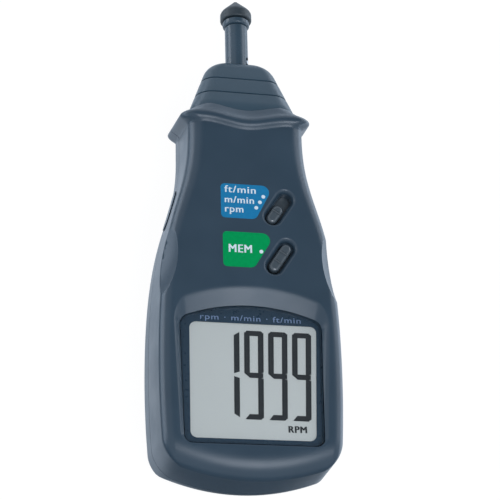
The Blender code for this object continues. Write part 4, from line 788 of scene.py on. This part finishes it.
def floor_height(y):
    """Height of the lens's upper face, which drops towards the instrument's nose."""
    return LENS_HEIGHT - (y - LENS_MIDDLE_Y) * LENS_SLOPE


def on_lens(outline, above):
    """Places a flat outline at a height above the leaning lens."""
    return [(x, y, floor_height(y) + above) for x, y in outline]


def leaning_plate(name, outline, low, high):
    return loft(name, [on_lens(outline, low), on_lens(outline, high)])


def brim_outline(floor):
    """The pocket's brim: the floor's outline pushed out a little at its sides and far at its arched head."""
    brim = []
    for number, (x, y) in enumerate(floor):
        before, after = Vector(floor[number - 1]), Vector(floor[(number + 1) % len(floor)])
        along = (after - before).normalized()
        out_x, out_y = along.y, -along.x
        share = ease((y - LENS_LOW_Y) / LENS_LENGTH)
        side = 1.2 + (POCKET_SIDE_RUN - 1.2) * share
        brim.append((x + out_x * side, y + out_y * (POCKET_TOP_RUN if out_y > 0 else 0.7)))
    return brim


def display_pocket():
    """The sunken panel: a floor that leans with the lens, a head that slopes up in an arc, a rounded brim."""
    floor = lens_outline(CLEARANCE)
    brim = brim_outline(floor)
    rings = [on_lens(floor, 0.0)]
    for share, lost in ((0.80, 0.0), (0.92, 0.05), (1.0, 0.09), (1.07, 0.04), (1.13, 0.0)):
        ring = []
        for (x, y), (bx, by) in zip(floor, brim):
            low = floor_height(y)
            rise = min(1.0, share) * (FACE_HEIGHT - low)
            sunk = lost * min(1.0, (FACE_HEIGHT - low) / 1.5)
            ring.append((x + (bx - x) * share, y + (by - y) * share, low + rise - sunk))
        rings.append(ring)
    rings.append([(x, y, FACE_HEIGHT + 1) for x, y, _ in rings[-1]])
    return loft("display_pocket", rings)


# Glass of the display, and the window of the printed frame over it, which widens and leans towards its head
GLASS_HALF_WIDTH = 25.6
WINDOW_HALF_WIDTH = 23.2
WINDOW_LOW_Y = -88.9
WINDOW_HIGH_Y = -43.8
WINDOW_RADIUS = 2.5
WINDOW_SPREAD = 0.04
WINDOW_LEAN = 1.2
PRINT_DROP = 0.06
PRINT_INSET = 0.1


def display_spread(points):
    """Widens the print of the display a little towards its head, and leans it to the right."""
    spread = []
    for x, y in points:
        share = (y - WINDOW_LOW_Y) / (WINDOW_HIGH_Y - WINDOW_LOW_Y)
        spread.append((x * (1 + WINDOW_SPREAD * share) + WINDOW_LEAN * share, y))
    return spread


def rounded_box(half, low, high, radius):
    points = []
    for x, y, start in (
        (half - radius, low + radius, 270), (half - radius, high - radius, 0),
        (radius - half, high - radius, 90), (radius - half, low + radius, 180),
    ):
        points += arc_points((x, y), radius, start, start + 90)
    return points


def build_display():
    back = -LENS_THICKNESS - CLEARANCE
    lens = leaning_plate("lens_window", lens_outline(), back, -CLEARANCE)
    finished(smooth(lens), LENS, "case", "lens_acrylic", "display_lens")
    lens.data.materials.append(FRAME_INK)
    for face in lens.data.polygons:
        face.material_index = int(abs(face.normal.z) < 0.5)
    printed = lens_outline(-PRINT_INSET)
    window = display_spread(rounded_box(WINDOW_HALF_WIDTH, WINDOW_LOW_Y, WINDOW_HIGH_Y, WINDOW_RADIUS))
    frame_print = leaning_plate("lens_frame_print", printed, back - 0.14, back - PRINT_DROP)
    cut(frame_print, leaning_plate("window_cut", window, back - 2, back + 2))
    finished(applied(frame_print), FRAME_INK, "case", "lens_acrylic")
    low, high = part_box("lcd_panel")
    low_y, high_y = min(low[1] / MM, WINDOW_LOW_Y - 0.4), max(high[1] / MM, WINDOW_HIGH_Y + 0.4)
    glass = [(GLASS_HALF_WIDTH * side, y) for side, y in ((-1, low_y), (1, low_y), (1, high_y), (-1, high_y))]
    top = back - CLEARANCE
    panel = leaning_plate("lcd_glass_panel", glass, top - 2.8, top - 0.02)
    finished(panel, LCD, "case", "lcd_glass", "lcd_panel")
    build_digits(top)
    build_legend(back)


# Figures on the display: heights, pitch and stroke in the lens's plane
DIGIT_TOP_Y = -46.5
DIGIT_MIDDLE_Y = -64.15
DIGIT_BASE_Y = -81.3
DIGIT_WIDTH = 7.1
DIGIT_RIGHT = 21.35
DIGIT_PITCH = 8.8
STROKE = 2.05
SEGMENT_THICKNESS = 0.06
LIT_SEGMENTS = ("abcdfg", "abcdfg", "abcdfg", "bc")


def segment_shapes(left, right, top, middle, base):
    """Outlines of the segments in use, lettered clockwise from the head, with mitred ends."""
    s, half = STROKE, STROKE / 2
    inner_left, inner_right = left + s, right - s
    return {
        "a": [(left + 1.0, top), (right - 1.0, top), (right - 0.15, top - 0.8), (inner_right, top - s),
              (inner_left, top - s), (left + 0.15, top - 0.8)],
        "b": [(right, top - 0.7), (right, middle + 1.25), (inner_right, middle + 0.5),
              (inner_right, top - s + 0.05)],
        "c": [(right, middle - 1.25), (right, base + 0.7), (inner_right, base + s - 0.05),
              (inner_right, middle - 0.6)],
        "d": [(left + 0.35, base + 0.1), (left + 1.2, base), (right - 1.0, base), (right - 0.15, base + 0.8),
              (inner_right, base + s), (inner_left - 0.2, base + s)],
        "f": [(inner_left, top - s + 0.05), (inner_left, middle + half - 0.05), (left + 0.9, middle),
              (left, middle + 0.8), (left, top - 0.7)],
        "g": [(left + 0.85, middle + 0.05), (inner_left, middle + half), (inner_right, middle + half),
              (right - 0.15, middle + 0.9), (right - 0.15, middle - 0.9), (inner_right, middle - half),
              (inner_left, middle - half)],
    }


def build_digits(height):
    """The figures 1999 from the right, as dark segments just over the glass."""
    bm = bmesh.new()
    for place, lit in enumerate(LIT_SEGMENTS):
        right = DIGIT_RIGHT - DIGIT_PITCH * place
        shapes = segment_shapes(right - DIGIT_WIDTH, right, DIGIT_TOP_Y, DIGIT_MIDDLE_Y, DIGIT_BASE_Y)
        for letter in lit:
            outline = display_spread(shapes[letter])
            heights = (height, height + SEGMENT_THICKNESS)
            lower, upper = [row_of(bm, on_lens(outline, above)) for above in heights]
            bm.faces.new(lower)
            bm.faces.new(upper)
            bridge(bm, lower, upper)
    finished(from_bmesh("lcd_figures", bm), SEGMENT, "case", "lcd_glass")


# Words, as flat raised lettering; the copies of a bold word lie a step apart

LETTER_SPACING = 1.12
RAISED = 0.05
BOLD_STEP = 0.01


def words(name, text, place, height, width, material, slot, tilt=0.0, bold=0.0):
    """A word in a box from its lower left corner, lying on a face; bold widens its strokes."""
    curve = bpy.data.curves.new(name, "FONT")
    curve.body = text
    curve.size = 1.0
    curve.extrude = 0.02
    curve.space_character = LETTER_SPACING
    source = placed(name, curve)
    bpy.context.view_layer.update()
    mesh = bpy.data.meshes.new_from_object(source.evaluated_get(bpy.context.evaluated_depsgraph_get()))
    bpy.data.objects.remove(source, do_unlink=True)
    size = (width, height, RAISED)
    lows = [min(v.co[i] for v in mesh.vertices) for i in range(3)]
    highs = [max(v.co[i] for v in mesh.vertices) for i in range(3)]
    for vertex in mesh.vertices:
        for i in range(3):
            vertex.co[i] = (vertex.co[i] - lows[i]) / (highs[i] - lows[i]) * size[i]
        x, y, z = vertex.co
        px, py = place[0] + x, place[1] + y
        vertex.co = Vector((px, py, place[2] + z - tilt * (py - place[1]))) * MM
    if bold:
        strokes = bmesh.new()
        for side in (-1, 0, 1):
            before = len(strokes.verts)
            strokes.from_mesh(mesh)
            shift = Vector((side * bold, 0, BOLD_STEP + BOLD_STEP * side)) * MM
            bmesh.ops.translate(strokes, vec=shift, verts=list(strokes.verts)[before:])
        strokes.to_mesh(mesh)
        strokes.free()
    return finished(placed(name, mesh), material, "case", slot)


def build_legend(back):
    """Unit words over the window and under the figures."""
    for name, text, x, y, above, height, width, material, slot, bold in (
        ("legend_units", "rpm \u00b7 m/min \u00b7 ft/min", -18.8, -43.4, -PRINT_DROP, 2.9, 38.2,
         LEGEND, "lens_acrylic", 0.0),
        ("lcd_unit_word", "RPM", 13.1, -85.8, -CLEARANCE, 2.5, 6.6, SEGMENT, "lcd_glass", 0.16),
    ):
        place = (x, y, floor_height(y) + back + above)
        words(name, text, place, height, width, material, slot, LENS_SLOPE, bold)


# Labels beside the switches

LABEL_TOP = FACE_HEIGHT + 0.05
TAG_RADIUS = 1.6
TAG_FOOT_RADIUS = 2.8
DOT_RADIUS = 0.75
DOT_STEPS = 24


def tag_outline(left, low, high, centre_x, shoulder, slant):
    """A label with rounded corners whose right end is one arc that slants down to its foot."""
    radius, foot, centre_y = TAG_RADIUS, TAG_FOOT_RADIUS, high - shoulder
    side, down = cos(radians(slant)), sin(radians(slant))
    start_x, start_y = centre_x + shoulder * side, centre_y - shoulder * down
    run = (start_y - (low + foot - foot * down)) / side
    foot_x = start_x - down * run - foot * side
    points = arc_points((left + radius, low + radius), radius, 180, 270)
    points += arc_points((foot_x, low + foot), foot, 270, 360 - slant)
    points += arc_points((centre_x, centre_y), shoulder, -slant, 90)
    return points + arc_points((left + radius, high - radius), radius, 90, 180)


def label(name, outline, material):
    finished(plate(name, outline, FACE_HEIGHT + 0.002, LABEL_TOP), material, "case", "case_plastic")


def dot(name, x, y):
    around = turns(2 * pi, DOT_STEPS)[:-1]
    outline = [(x + DOT_RADIUS * cos(turn), y + DOT_RADIUS * sin(turn)) for turn in around]
    finished(plate(name, outline, LABEL_TOP, LABEL_TOP + RAISED), WHITE, "case", "case_plastic")


def build_labels():
    """The blue label of the mode switch and the green one of the memory key."""
    label("mode_label", tag_outline(-11.1, -2.9, 11.4, 4.9, 2.9, 27), BLUE)
    label("memory_label", tag_outline(-10.6, -22.9, -8.6, 4.6, 3.0, 31), GREEN)
    for name, text, left, low, height, width, bold in (
        ("mode_word_feet", "ft/min", -9.6, 7.7, 2.9, 12.1, 0.09),
        ("mode_word_metres", "m/min", -9.5, 3.4, 2.8, 11.2, 0.09),
        ("mode_word_rpm", "rpm", -9.5, -1.4, 2.8, 7.0, 0.09),
        ("memory_word", "MEM", -8.3, -17.0, 3.2, 8.7, 0.14),
    ):
        words(name, text, (left, low, LABEL_TOP), height, width, WHITE, "case_plastic", bold=bold)
    for name, x, y in (("mode_dot_1", 5.5, 6.7), ("mode_dot_2", 4.1, 4.3), ("mode_dot_3", 2.6, 1.9),
                       ("memory_dot", 4.1, -16.2)):
        dot(name, x, y)


# Switches

KEY_EDGE = 1.4
KEY_EDGE_STEPS = 6
KEY_GROOVE_RADIUS = 0.55


def stadium(length, width, steps=16):
    """An oblong outline along X with round ends."""
    radius, reach = width / 2, (length - width) / 2
    right = [(reach + radius * sin(turn), -radius * cos(turn)) for turn in turns(pi, steps)]
    return right + [(-x, -y) for x, y in right]


def at_switch(item, y):
    """Turns a piece drawn along X to the switches' slant and sets it at its place in the face."""
    spot = Matrix.Translation(Vector((SWITCH_X, y, 0)) * MM)
    item.data.transform(spot @ Matrix.Rotation(radians(SWITCH_ANGLE), 4, "Z"))
    return item


def oblong(name, steps, length, width, middle=0.0):
    """A skin over oblong rings, from steps of growth and height."""
    rings = []
    for grow, z in steps:
        outline = stadium(length + 2 * grow, width + 2 * grow)
        rings.append([(x + middle, py, z) for x, py in outline])
    return loft(name, rings)


def recess(name, y):
    """The oblong sink that a switch lies in, with a rounded bevel."""
    steps = [(grow, FACE_HEIGHT + z) for grow, z in (
        (-RECESS_BEVEL, -RECESS_DEPTH), (-RECESS_BEVEL, -1.7), (-0.8, -1.2), (-0.45, -0.6),
        (-0.1, -0.2), (0.3, -0.03), (0.55, 0.0), (0.55, 0.8),
    )]
    return at_switch(oblong(name, steps, RECESS_LENGTH, RECESS_WIDTH), y)


def key_hole(name, y, length):
    outline = stadium(length, KEY_WIDTH + 2 * SLIDE_CLEARANCE)
    return at_switch(plate(name, outline, WELL_BOTTOM - 2, FACE_HEIGHT - RECESS_DEPTH + 1), y)


def crowned_key(name, length, middle, grooves, y, base_length):
    """An oblong key with a rounded crown and crosswise grooves, on the plate that holds it."""
    steps = [(0.0, PLATE_TOP - 0.5), (0.0, KEY_TOP - KEY_EDGE)]
    for turn in turns(pi / 2, KEY_EDGE_STEPS)[1:]:
        steps.append((-KEY_EDGE * (1 - cos(turn)), KEY_TOP - KEY_EDGE * (1 - sin(turn))))
    steps.append((-KEY_EDGE - 0.6, KEY_TOP + 0.06))
    key = oblong(name, steps, length, KEY_WIDTH, middle)
    for number, place in enumerate(grooves):
        ends = [(middle + place, side * KEY_WIDTH, KEY_TOP) for side in (-1, 1)]
        cut(key, rod("%s_groove_%d" % (name, number), KEY_GROOVE_RADIUS, *ends, 24))
    base = [(x + middle, py) for x, py in stadium(base_length, RECESS_WIDTH - 1.0)]
    join(key, plate(name + "_plate", base, PLATE_TOP - KEY_PLATE, PLATE_TOP))
    return at_switch(applied(key), y)


def build_switches():
    travel = 2 * MODE_STEP
    plate_length = RECESS_LENGTH + travel - 1.0
    knob = crowned_key("mode_knob", MODE_KNOB_LENGTH, -travel / 2, (0.9,), MODE_Y, plate_length)
    finished(smooth(knob), KEYS, "mode_key", "key_plastic", "mode_slider")
    key = crowned_key("memory_key_cap", MEMORY_KEY_LENGTH, 0.0, (-2.1, 2.1), MEMORY_Y, RECESS_LENGTH - 1.6)
    finished(smooth(key), KEYS, "memory_key", "key_plastic", "memory_button")


# Measuring button in the left side

def side_prism(name, grow, left, right):
    """An oblong bar along X through the left side of the case, at the parting height."""
    outline = stadium(MEASURE_LENGTH + 2 * grow, MEASURE_DEPTH + 2 * grow)
    rings = [[(x, MEASURE_Y + along, PARTING_HEIGHT + up) for along, up in outline] for x in (left, right)]
    return loft(name, rings)


def inner_side():
    """Where the inside of the wall lies beside the button."""
    return case_half_width(MEASURE_Y + MEASURE_LENGTH / 2) - WALL


def button_hole(name):
    return side_prism(name, 0.0, -FAR, 2 - inner_side())


def build_measure_button():
    back = -(inner_side() - MEASURE_TRAVEL - 0.2)
    button = side_prism("side_button", -SLIDE_CLEARANCE, -(CASE_WIDTH / 2), back)
    keep(button, case_limit("button_crown", MEASURE_PROUD, RIM_Y - 12))
    join(button, side_prism("button_flange", 1.0, back, back + 1.4))
    finished(smooth(applied(button)), CASE, "measure_key", "key_plastic", "measure_button")


# Case halves

CASE_FOOT_Y = BASE_Y - 9


def finger_scoop(side):
    """A large shallow ball cut that leaves a leaf-shaped facet on the front edge."""
    radius = sqrt(SCOOP_RADIUS ** 2 + SCOOP_HEIGHT ** 2)
    bm = bmesh.new()
    bmesh.ops.create_uvsphere(bm, u_segments=160, v_segments=100, radius=radius * MM)
    x, y = side * (SCOOP_WIDTH / 2 + SCOOP_RADIUS), BASE_Y + SCOOP_FROM_BASE
    bmesh.ops.translate(bm, vec=Vector((x, y, FACE_HEIGHT + SCOOP_HEIGHT)) * MM, verts=bm.verts)
    return from_bmesh("scoop_%d" % (side + 1), bm)


def build_front_shell():
    shell = outer_case("front_shell")
    keep(shell, block("front_half", (-FAR, CASE_FOOT_Y, PARTING_HEIGHT + CLEARANCE / 2),
                      (FAR, RIM_Y + FAR, FACE_HEIGHT + 20)))
    cut(shell, case_cavity("front_cavity"))
    well = stadium(RECESS_LENGTH + 1.6, RECESS_WIDTH + 1.6)
    for k, y in enumerate((MODE_Y, MEMORY_Y)):
        join(shell, at_switch(plate("well_%d" % k, well, WELL_BOTTOM, FACE_HEIGHT - WALL / 2), y))
    cut(shell, display_pocket())
    cut(shell, leaning_plate("lens_seat", lens_outline(CLEARANCE), -LENS_THICKNESS - 2 * CLEARANCE, 0.4))
    half = GLASS_HALF_WIDTH + 0.1
    cut(shell, block("display_window", (-half, LENS_LOW_Y + LENS_LEDGE - CLEARANCE, DECK_HEIGHT - 6),
                     (half, WINDOW_HIGH_Y + 0.5, FAR)))
    cut(shell, recess("mode_recess", MODE_Y), recess("memory_recess", MEMORY_Y))
    cut(shell, key_hole("mode_slot", MODE_Y, MODE_KNOB_LENGTH + 2 * MODE_STEP + 2 * SLIDE_CLEARANCE))
    cut(shell, key_hole("memory_hole", MEMORY_Y, MEMORY_KEY_LENGTH + 2 * SLIDE_CLEARANCE))
    cut(shell, finger_scoop(-1), finger_scoop(1))
    cut(shell, nose_hole("front_nose_hole"), button_hole("front_button_hole"))
    finished(smooth(applied(shell), SHELL_SMOOTH_ANGLE), CASE, "case", "case_plastic", "front_cover")


def tray_block(name, grow, low, high):
    """A layer of the battery tray's outside, trimmed where its corners would come through the case."""
    reach = TRAY_HALF_WIDTH + 3.0
    tray = block(name, (-reach, TRAY_LOW_Y - TRAY_WALL, low), (reach, TRAY_HIGH_Y + TRAY_WALL, high))
    keep(tray, case_limit(name + "_limit", grow, CAVITY_END_Y))
    return applied(tray)


def build_rear_shell():
    shell = outer_case("rear_shell")
    keep(shell, block("rear_half", (-FAR, CASE_FOOT_Y, -20),
                      (FAR, RIM_Y + FAR, PARTING_HEIGHT - CLEARANCE / 2)))
    cut(shell, case_cavity("rear_cavity"))
    join(shell, tray_block("tray_foot", -WALL / 2, WALL / 2, PARTING_HEIGHT - 1))
    join(shell, tray_block("tray_head", -WALL - CLEARANCE, PARTING_HEIGHT - 2, TRAY_TOP))
    half, middle = DOOR_HALF_WIDTH + SLIDE_CLEARANCE, DOOR_THICKNESS / 2
    door_end = DOOR_HIGH_Y + CLEARANCE
    for name, reach, low_y, high_y, low, high in (
        ("tray_room", TRAY_HALF_WIDTH, TRAY_LOW_Y, TRAY_HIGH_Y, DOOR_THICKNESS - 1, TRAY_CEILING),
        ("door_opening", half, CASE_FOOT_Y, door_end, -5, DOOR_THICKNESS + CLEARANCE),
        ("door_grooves", half + DOOR_TONGUE, CASE_FOOT_Y, door_end, middle - 0.7, middle + 0.8),
    ):
        cut(shell, block(name, (-reach, low_y, low), (reach, high_y, high)))
    for number, (x, from_base) in enumerate((TOP_SCREW, LOW_SCREW)):
        for side in (-1, 1):
            ends = [(side * x, BASE_Y + from_base, z) for z in (-3, SCREW_SINK + 2.1)]
            cut(shell, rod("sink_%d_%d" % (number, side + 1), SCREW_SINK_RADIUS, *ends))
    cut(shell, nose_hole("rear_nose_hole"), button_hole("rear_button_hole"))
    finished(smooth(applied(shell), SHELL_SMOOTH_ANGLE), CASE, "case", "case_plastic", "rear_cover")


def build_door_shell():
    """The battery door with its finger ribs."""
    half, high, middle = DOOR_HALF_WIDTH, DOOR_HIGH_Y, DOOR_THICKNESS / 2
    door = outer_case("door_shell")
    reach = half + DOOR_TONGUE
    keep(door, block("door_limit", (-reach, CASE_FOOT_Y, -9), (reach, high, DOOR_THICKNESS)))
    for side in (-1, 1):
        inner, outer = sorted((side * half, side * FAR))
        for name, low, top in (("rim_low", -9, middle - 0.4), ("rim_high", middle + 0.5, 9)):
            cut(door, block("%s_%d" % (name, side + 1), (inner, CASE_FOOT_Y, low), (outer, high + 5, top)))
    for k in range(4):
        y = high - 4.4 - 2.4 * k
        cut(door, rod("grip_%d" % k, 0.6, (-9, y, 0), (9, y, 0), 24))
    finished(smooth(applied(door)), CASE, "door", "case_plastic", "battery_door")


# Spindle end and contact adapter

# Rounding of the tip's point, as shares of its radius and distances from its end
TIP_POINT = ((0.55, 0.1), (0.85, 0.28), (1.05, 0.55))


def edge(radius, y, steps):
    """Points near an edge, by how far each lies inside its radius and how far along from y."""
    return [(radius - inside, y + along) for inside, along in steps]


def build_adapter():
    bore, bore_end = JOURNAL_RADIUS + CLEARANCE, JOURNAL_END_Y + 0.8
    end = SLEEVE_Y + SLEEVE_LENGTH
    stub_end = TIP_Y + TIP_SKIRT_LENGTH - 0.4
    sleeve = turned("sleeve_fine", [
        (0, stub_end), *edge(STUB_RADIUS, stub_end, ((0.4, 0), (0, -0.4))), (STUB_RADIUS, end),
        *edge(SLEEVE_RADIUS, end, ((0.2, 0), (0.05, -0.06), (0, -0.2))),
        *edge(SLEEVE_RADIUS, SLEEVE_Y, ((0, 0.4), (0.1, 0.12), (0.4, 0))),
        (bore, SLEEVE_Y), (bore, bore_end), (0, bore_end),
    ], closed=False)
    turn = Matrix.Rotation(radians(DRIVE_PIN_ANGLE), 4, "Y")
    half = NOTCH_WIDTH / 2
    foot, head = SLEEVE_Y - 2, SLEEVE_Y + NOTCH_LENGTH
    corners = [(-half, foot), (half, foot), (half, head), (-half, head - 1.2)]
    notch = plate("drive_notch", corners, JOURNAL_RADIUS - 0.9, SLEEVE_RADIUS + 3)
    notch.data.transform(Matrix.Translation((0, 0, SPINDLE_HEIGHT * MM)) @ turn)
    cut(sleeve, notch)
    finished(smooth(applied(sleeve)), ADAPTER, "adapter", "adapter_plastic", "adapter_sleeve")
    inner, top = STUB_RADIUS + CLEARANCE, COLLAR_Y + COLLAR_LENGTH
    collar = turned("collar_fine", [
        (inner, top), *edge(ADAPTER_COLLAR_RADIUS, top, ((0.2, 0), (0, -0.2))),
        *edge(ADAPTER_COLLAR_RADIUS, COLLAR_Y, ((0, 0.9), (0.1, 0.55), (0.3, 0.25), (0.8, 0))),
        (inner, COLLAR_Y),
    ])
    finished(smooth(collar), ADAPTER, "adapter", "adapter_plastic", "adapter_collar")
    shoulder, hole_end = TIP_Y + TIP_SKIRT_LENGTH, stub_end + CLEARANCE
    tip = turned("tip_fine", [
        (0, APEX_Y), *[(TIP_POINT_RADIUS * share, APEX_Y - y) for share, y in TIP_POINT],
        *edge(TIP_RADIUS, shoulder, ((1.1, 0.45), (0.7, 0), (0.35, -0.5), (0.08, -1.1), (0, -1.7))),
        *edge(TIP_RADIUS, TIP_Y, ((0, 0.7), (0.12, 0.25), (0.4, 0))), (inner, TIP_Y), (inner, hole_end),
        (0, hole_end),
    ], closed=False)
    finished(smooth(tip, TIP_SMOOTH_ANGLE), RUBBER, "adapter", "tip_rubber", "cone_tip")


def build_pin():
    """The drive pin that shows in the sleeve's notch."""
    direction = Vector((sin(radians(DRIVE_PIN_ANGLE)), 0, cos(radians(DRIVE_PIN_ANGLE))))
    middle = Vector((0, SLEEVE_Y + DRIVE_PIN_RISE, SPINDLE_HEIGHT))
    pin = rod("drive_pin_fine", DRIVE_PIN_RADIUS, middle - direction * JOURNAL_RADIUS,
              middle + direction * (SLEEVE_RADIUS - 0.1), 32)
    finished(smooth(pin), PIN, "spindle_body", "steel", "drive_pin")


# Carried-over nodes get finished materials

def dress_nodes():
    by_slot = {
        "case_plastic": CASE, "key_plastic": KEYS, "adapter_plastic": ADAPTER, "tip_rubber": STRIP,
        "lens_acrylic": LENS, "lcd_glass": LCD, "inner_plastic": INNER, "board_laminate": BOARD,
        "steel": STEEL, "cell_jacket": CELL,
    }
    for entry in frame["record"]["subparts"]:
        item = frame["nodes"][entry["node"]]
        for place in item.material_slots:
            place.material = by_slot[entry["material_slot"]]


# Studio

CAMERA_AZIMUTH = 26.0
CAMERA_HEIGHT_ANGLE = 64.0
CAMERA_ROLL = 27.0
CAMERA_PLACE = (-116.104, -253.316, 577.462)
CAMERA_LENS = 115.264
SENSOR = 36.0
CLIP_START = 0.01


def build_camera():
    data = bpy.data.cameras.new("camera")
    data.sensor_width = SENSOR
    data.lens = CAMERA_LENS
    data.clip_start = CLIP_START
    camera = placed("camera", data)
    camera.matrix_world = Matrix.Translation(Vector(CAMERA_PLACE) * MM)
    for degrees, axis in ((-CAMERA_AZIMUTH, "Z"), (90 - CAMERA_HEIGHT_ANGLE, "X"), (CAMERA_ROLL, "Z")):
        camera.matrix_world = camera.matrix_world @ Matrix.Rotation(radians(degrees), 4, axis)
    bpy.context.scene.camera = camera


# Floor: its reach and its sink in metres, its paint, and its glow for the camera and for reflections
FLOOR_REACH = 3.0
FLOOR_SINK = 0.0002
FLOOR_PAINT = (0.86, 0.87, 0.88, 1)
FLOOR_GLOW = 1.06
CAMERA_SHARE = 0.9
MIRRORED_COLOUR = (0.84, 0.96, 1.12, 1)
# Strength of the glow in reflections, which paints reflections onto the case: painted highlights on its left
# and right edges from the bright bands far left and far right, and painted shade on its finger scoop and base
# end from the dim bands beside it and by the base; from where to where it changes, and its values there
LEFT_EDGE = (-0.056, -0.046, 0.15, 1.0)
LEFT_PAINTED_GLOW = (-0.105, -0.085, 2.6, 0.0)
RIGHT_EDGE = (0.06, 0.12, 1.0, 3.0)
BASE_EDGE = (-0.106, -0.096, 0.12, 1.0)


def build_floor():
    """A floor that is white to the camera, keeps a little of the object's shadow, glows in reflections in
    bands that paint highlights and shade on the case, and is clear from below.
    """
    mesh = bpy.data.meshes.new("floor")
    ends = (-FLOOR_REACH, FLOOR_REACH)
    mesh.from_pydata([(x, y, -FLOOR_SINK) for y in ends for x in ends], [], [(0, 1, 3, 2)])
    floor = placed("floor", mesh)
    material = bpy.data.materials.new("floor_white")
    make = Graph(material)
    make.tree.nodes.clear()
    spot = make.node("SeparateXYZ")
    make.link(make.node("TexCoord").outputs["Object"], spot.inputs[0])
    x, y = spot.outputs["X"], spot.outputs["Y"]
    # Painted reflection: the glow's strength by place, bright where it paints highlights on the case and dim
    # where it paints shade
    across = make.combined("MULTIPLY", make.mapped(x, *LEFT_EDGE), make.mapped(x, *RIGHT_EDGE))
    across = make.combined("ADD", across, make.mapped(x, *LEFT_PAINTED_GLOW))
    strength = make.combined("MULTIPLY", across, make.mapped(y, *BASE_EDGE))
    mirrored = make.node("Emission", {"Color": MIRRORED_COLOUR})
    make.link(strength, mirrored.inputs["Strength"])
    glow = make.node("Emission", {"Strength": FLOOR_GLOW})
    rays = make.node("LightPath").outputs
    camera, glossy = rays["Is Camera Ray"], rays["Is Glossy Ray"]
    light = make.mixed(camera, mirrored.outputs[0], glow.outputs[0])
    paint = make.node("BsdfDiffuse", {"Color": FLOOR_PAINT})
    front = make.mixed(make.combined("MULTIPLY_ADD", camera, CAMERA_SHARE, glossy), paint.outputs[0], light)
    back, clear = make.node("NewGeometry").outputs["Backfacing"], make.node("BsdfTransparent").outputs[0]
    make.link(make.mixed(back, front, clear), make.node("OutputMaterial").inputs["Surface"])
    floor.data.materials.append(material)


# Light: its colour, and the patch of darker ceiling by its direction, its edge and the strengths
LIGHT_COLOUR = (0.90, 0.96, 1.06)
PATCH_DIRECTION = (0.192, 0.43, 0.882)
PATCH_EDGE = (0.80, 0.95, 0.72, 0.17)
# Softboxes by direction, size in metres and power
SOFTBOXES = {
    "key_softbox": ((0.19, -0.42, 0.885), (0.5, 0.42), 4.3),
    "left_strip": ((-0.88, 0.39, 0.12), (0.9, 0.16), 2.0),
    "right_softbox": ((0.82, 0.39, 0.36), (0.8, 0.55), 2.0),
}
SOFTBOX_DISTANCE = 1.2
SOFTBOX_AIM = (0, -0.03, 0.03)


def build_world():
    """A bright room with a darker patch of ceiling in the direction that the flat face mirrors."""
    world = bpy.data.worlds.new("studio")
    bpy.context.scene.world = world
    make = Graph(world)
    room = make.tree.nodes["Background"]
    room.inputs["Color"].default_value = LIGHT_COLOUR + (1,)
    near = make.node("VectorMath", {1: Vector(PATCH_DIRECTION).normalized()}, operation="DOT_PRODUCT")
    make.link(make.node("TexCoord").outputs["Generated"], near.inputs[0])
    strength = make.mapped(near.outputs["Value"], *PATCH_EDGE, interpolation_type="SMOOTHSTEP")
    make.link(strength, room.inputs["Strength"])
    white = make.node("Background", {"Color": (1, 1, 1, 1)})
    camera = make.node("LightPath").outputs["Is Camera Ray"]
    sky = make.mixed(camera, room.outputs[0], white.outputs[0])
    make.link(sky, make.tree.nodes["World Output"].inputs["Surface"])


def build_softboxes():
    for name, (direction, size, power) in SOFTBOXES.items():
        data = bpy.data.lights.new(name, "AREA")
        data.shape = "RECTANGLE"
        data.size, data.size_y = size
        data.energy = power
        data.color = LIGHT_COLOUR
        lamp = placed(name, data)
        toward = Vector(direction).normalized()
        lamp.location = Vector(SOFTBOX_AIM) + toward * SOFTBOX_DISTANCE
        lamp.rotation_euler = toward.to_track_quat("Z", "Y").to_euler()


build_front_shell()
build_rear_shell()
build_door_shell()
build_nose()
build_display()
build_labels()
build_switches()
build_measure_button()
build_adapter()
build_pin()
dress_nodes()
build_camera()
build_floor()
build_world()
build_softboxes()
bpy.context.scene.view_settings.view_transform = "Standard"
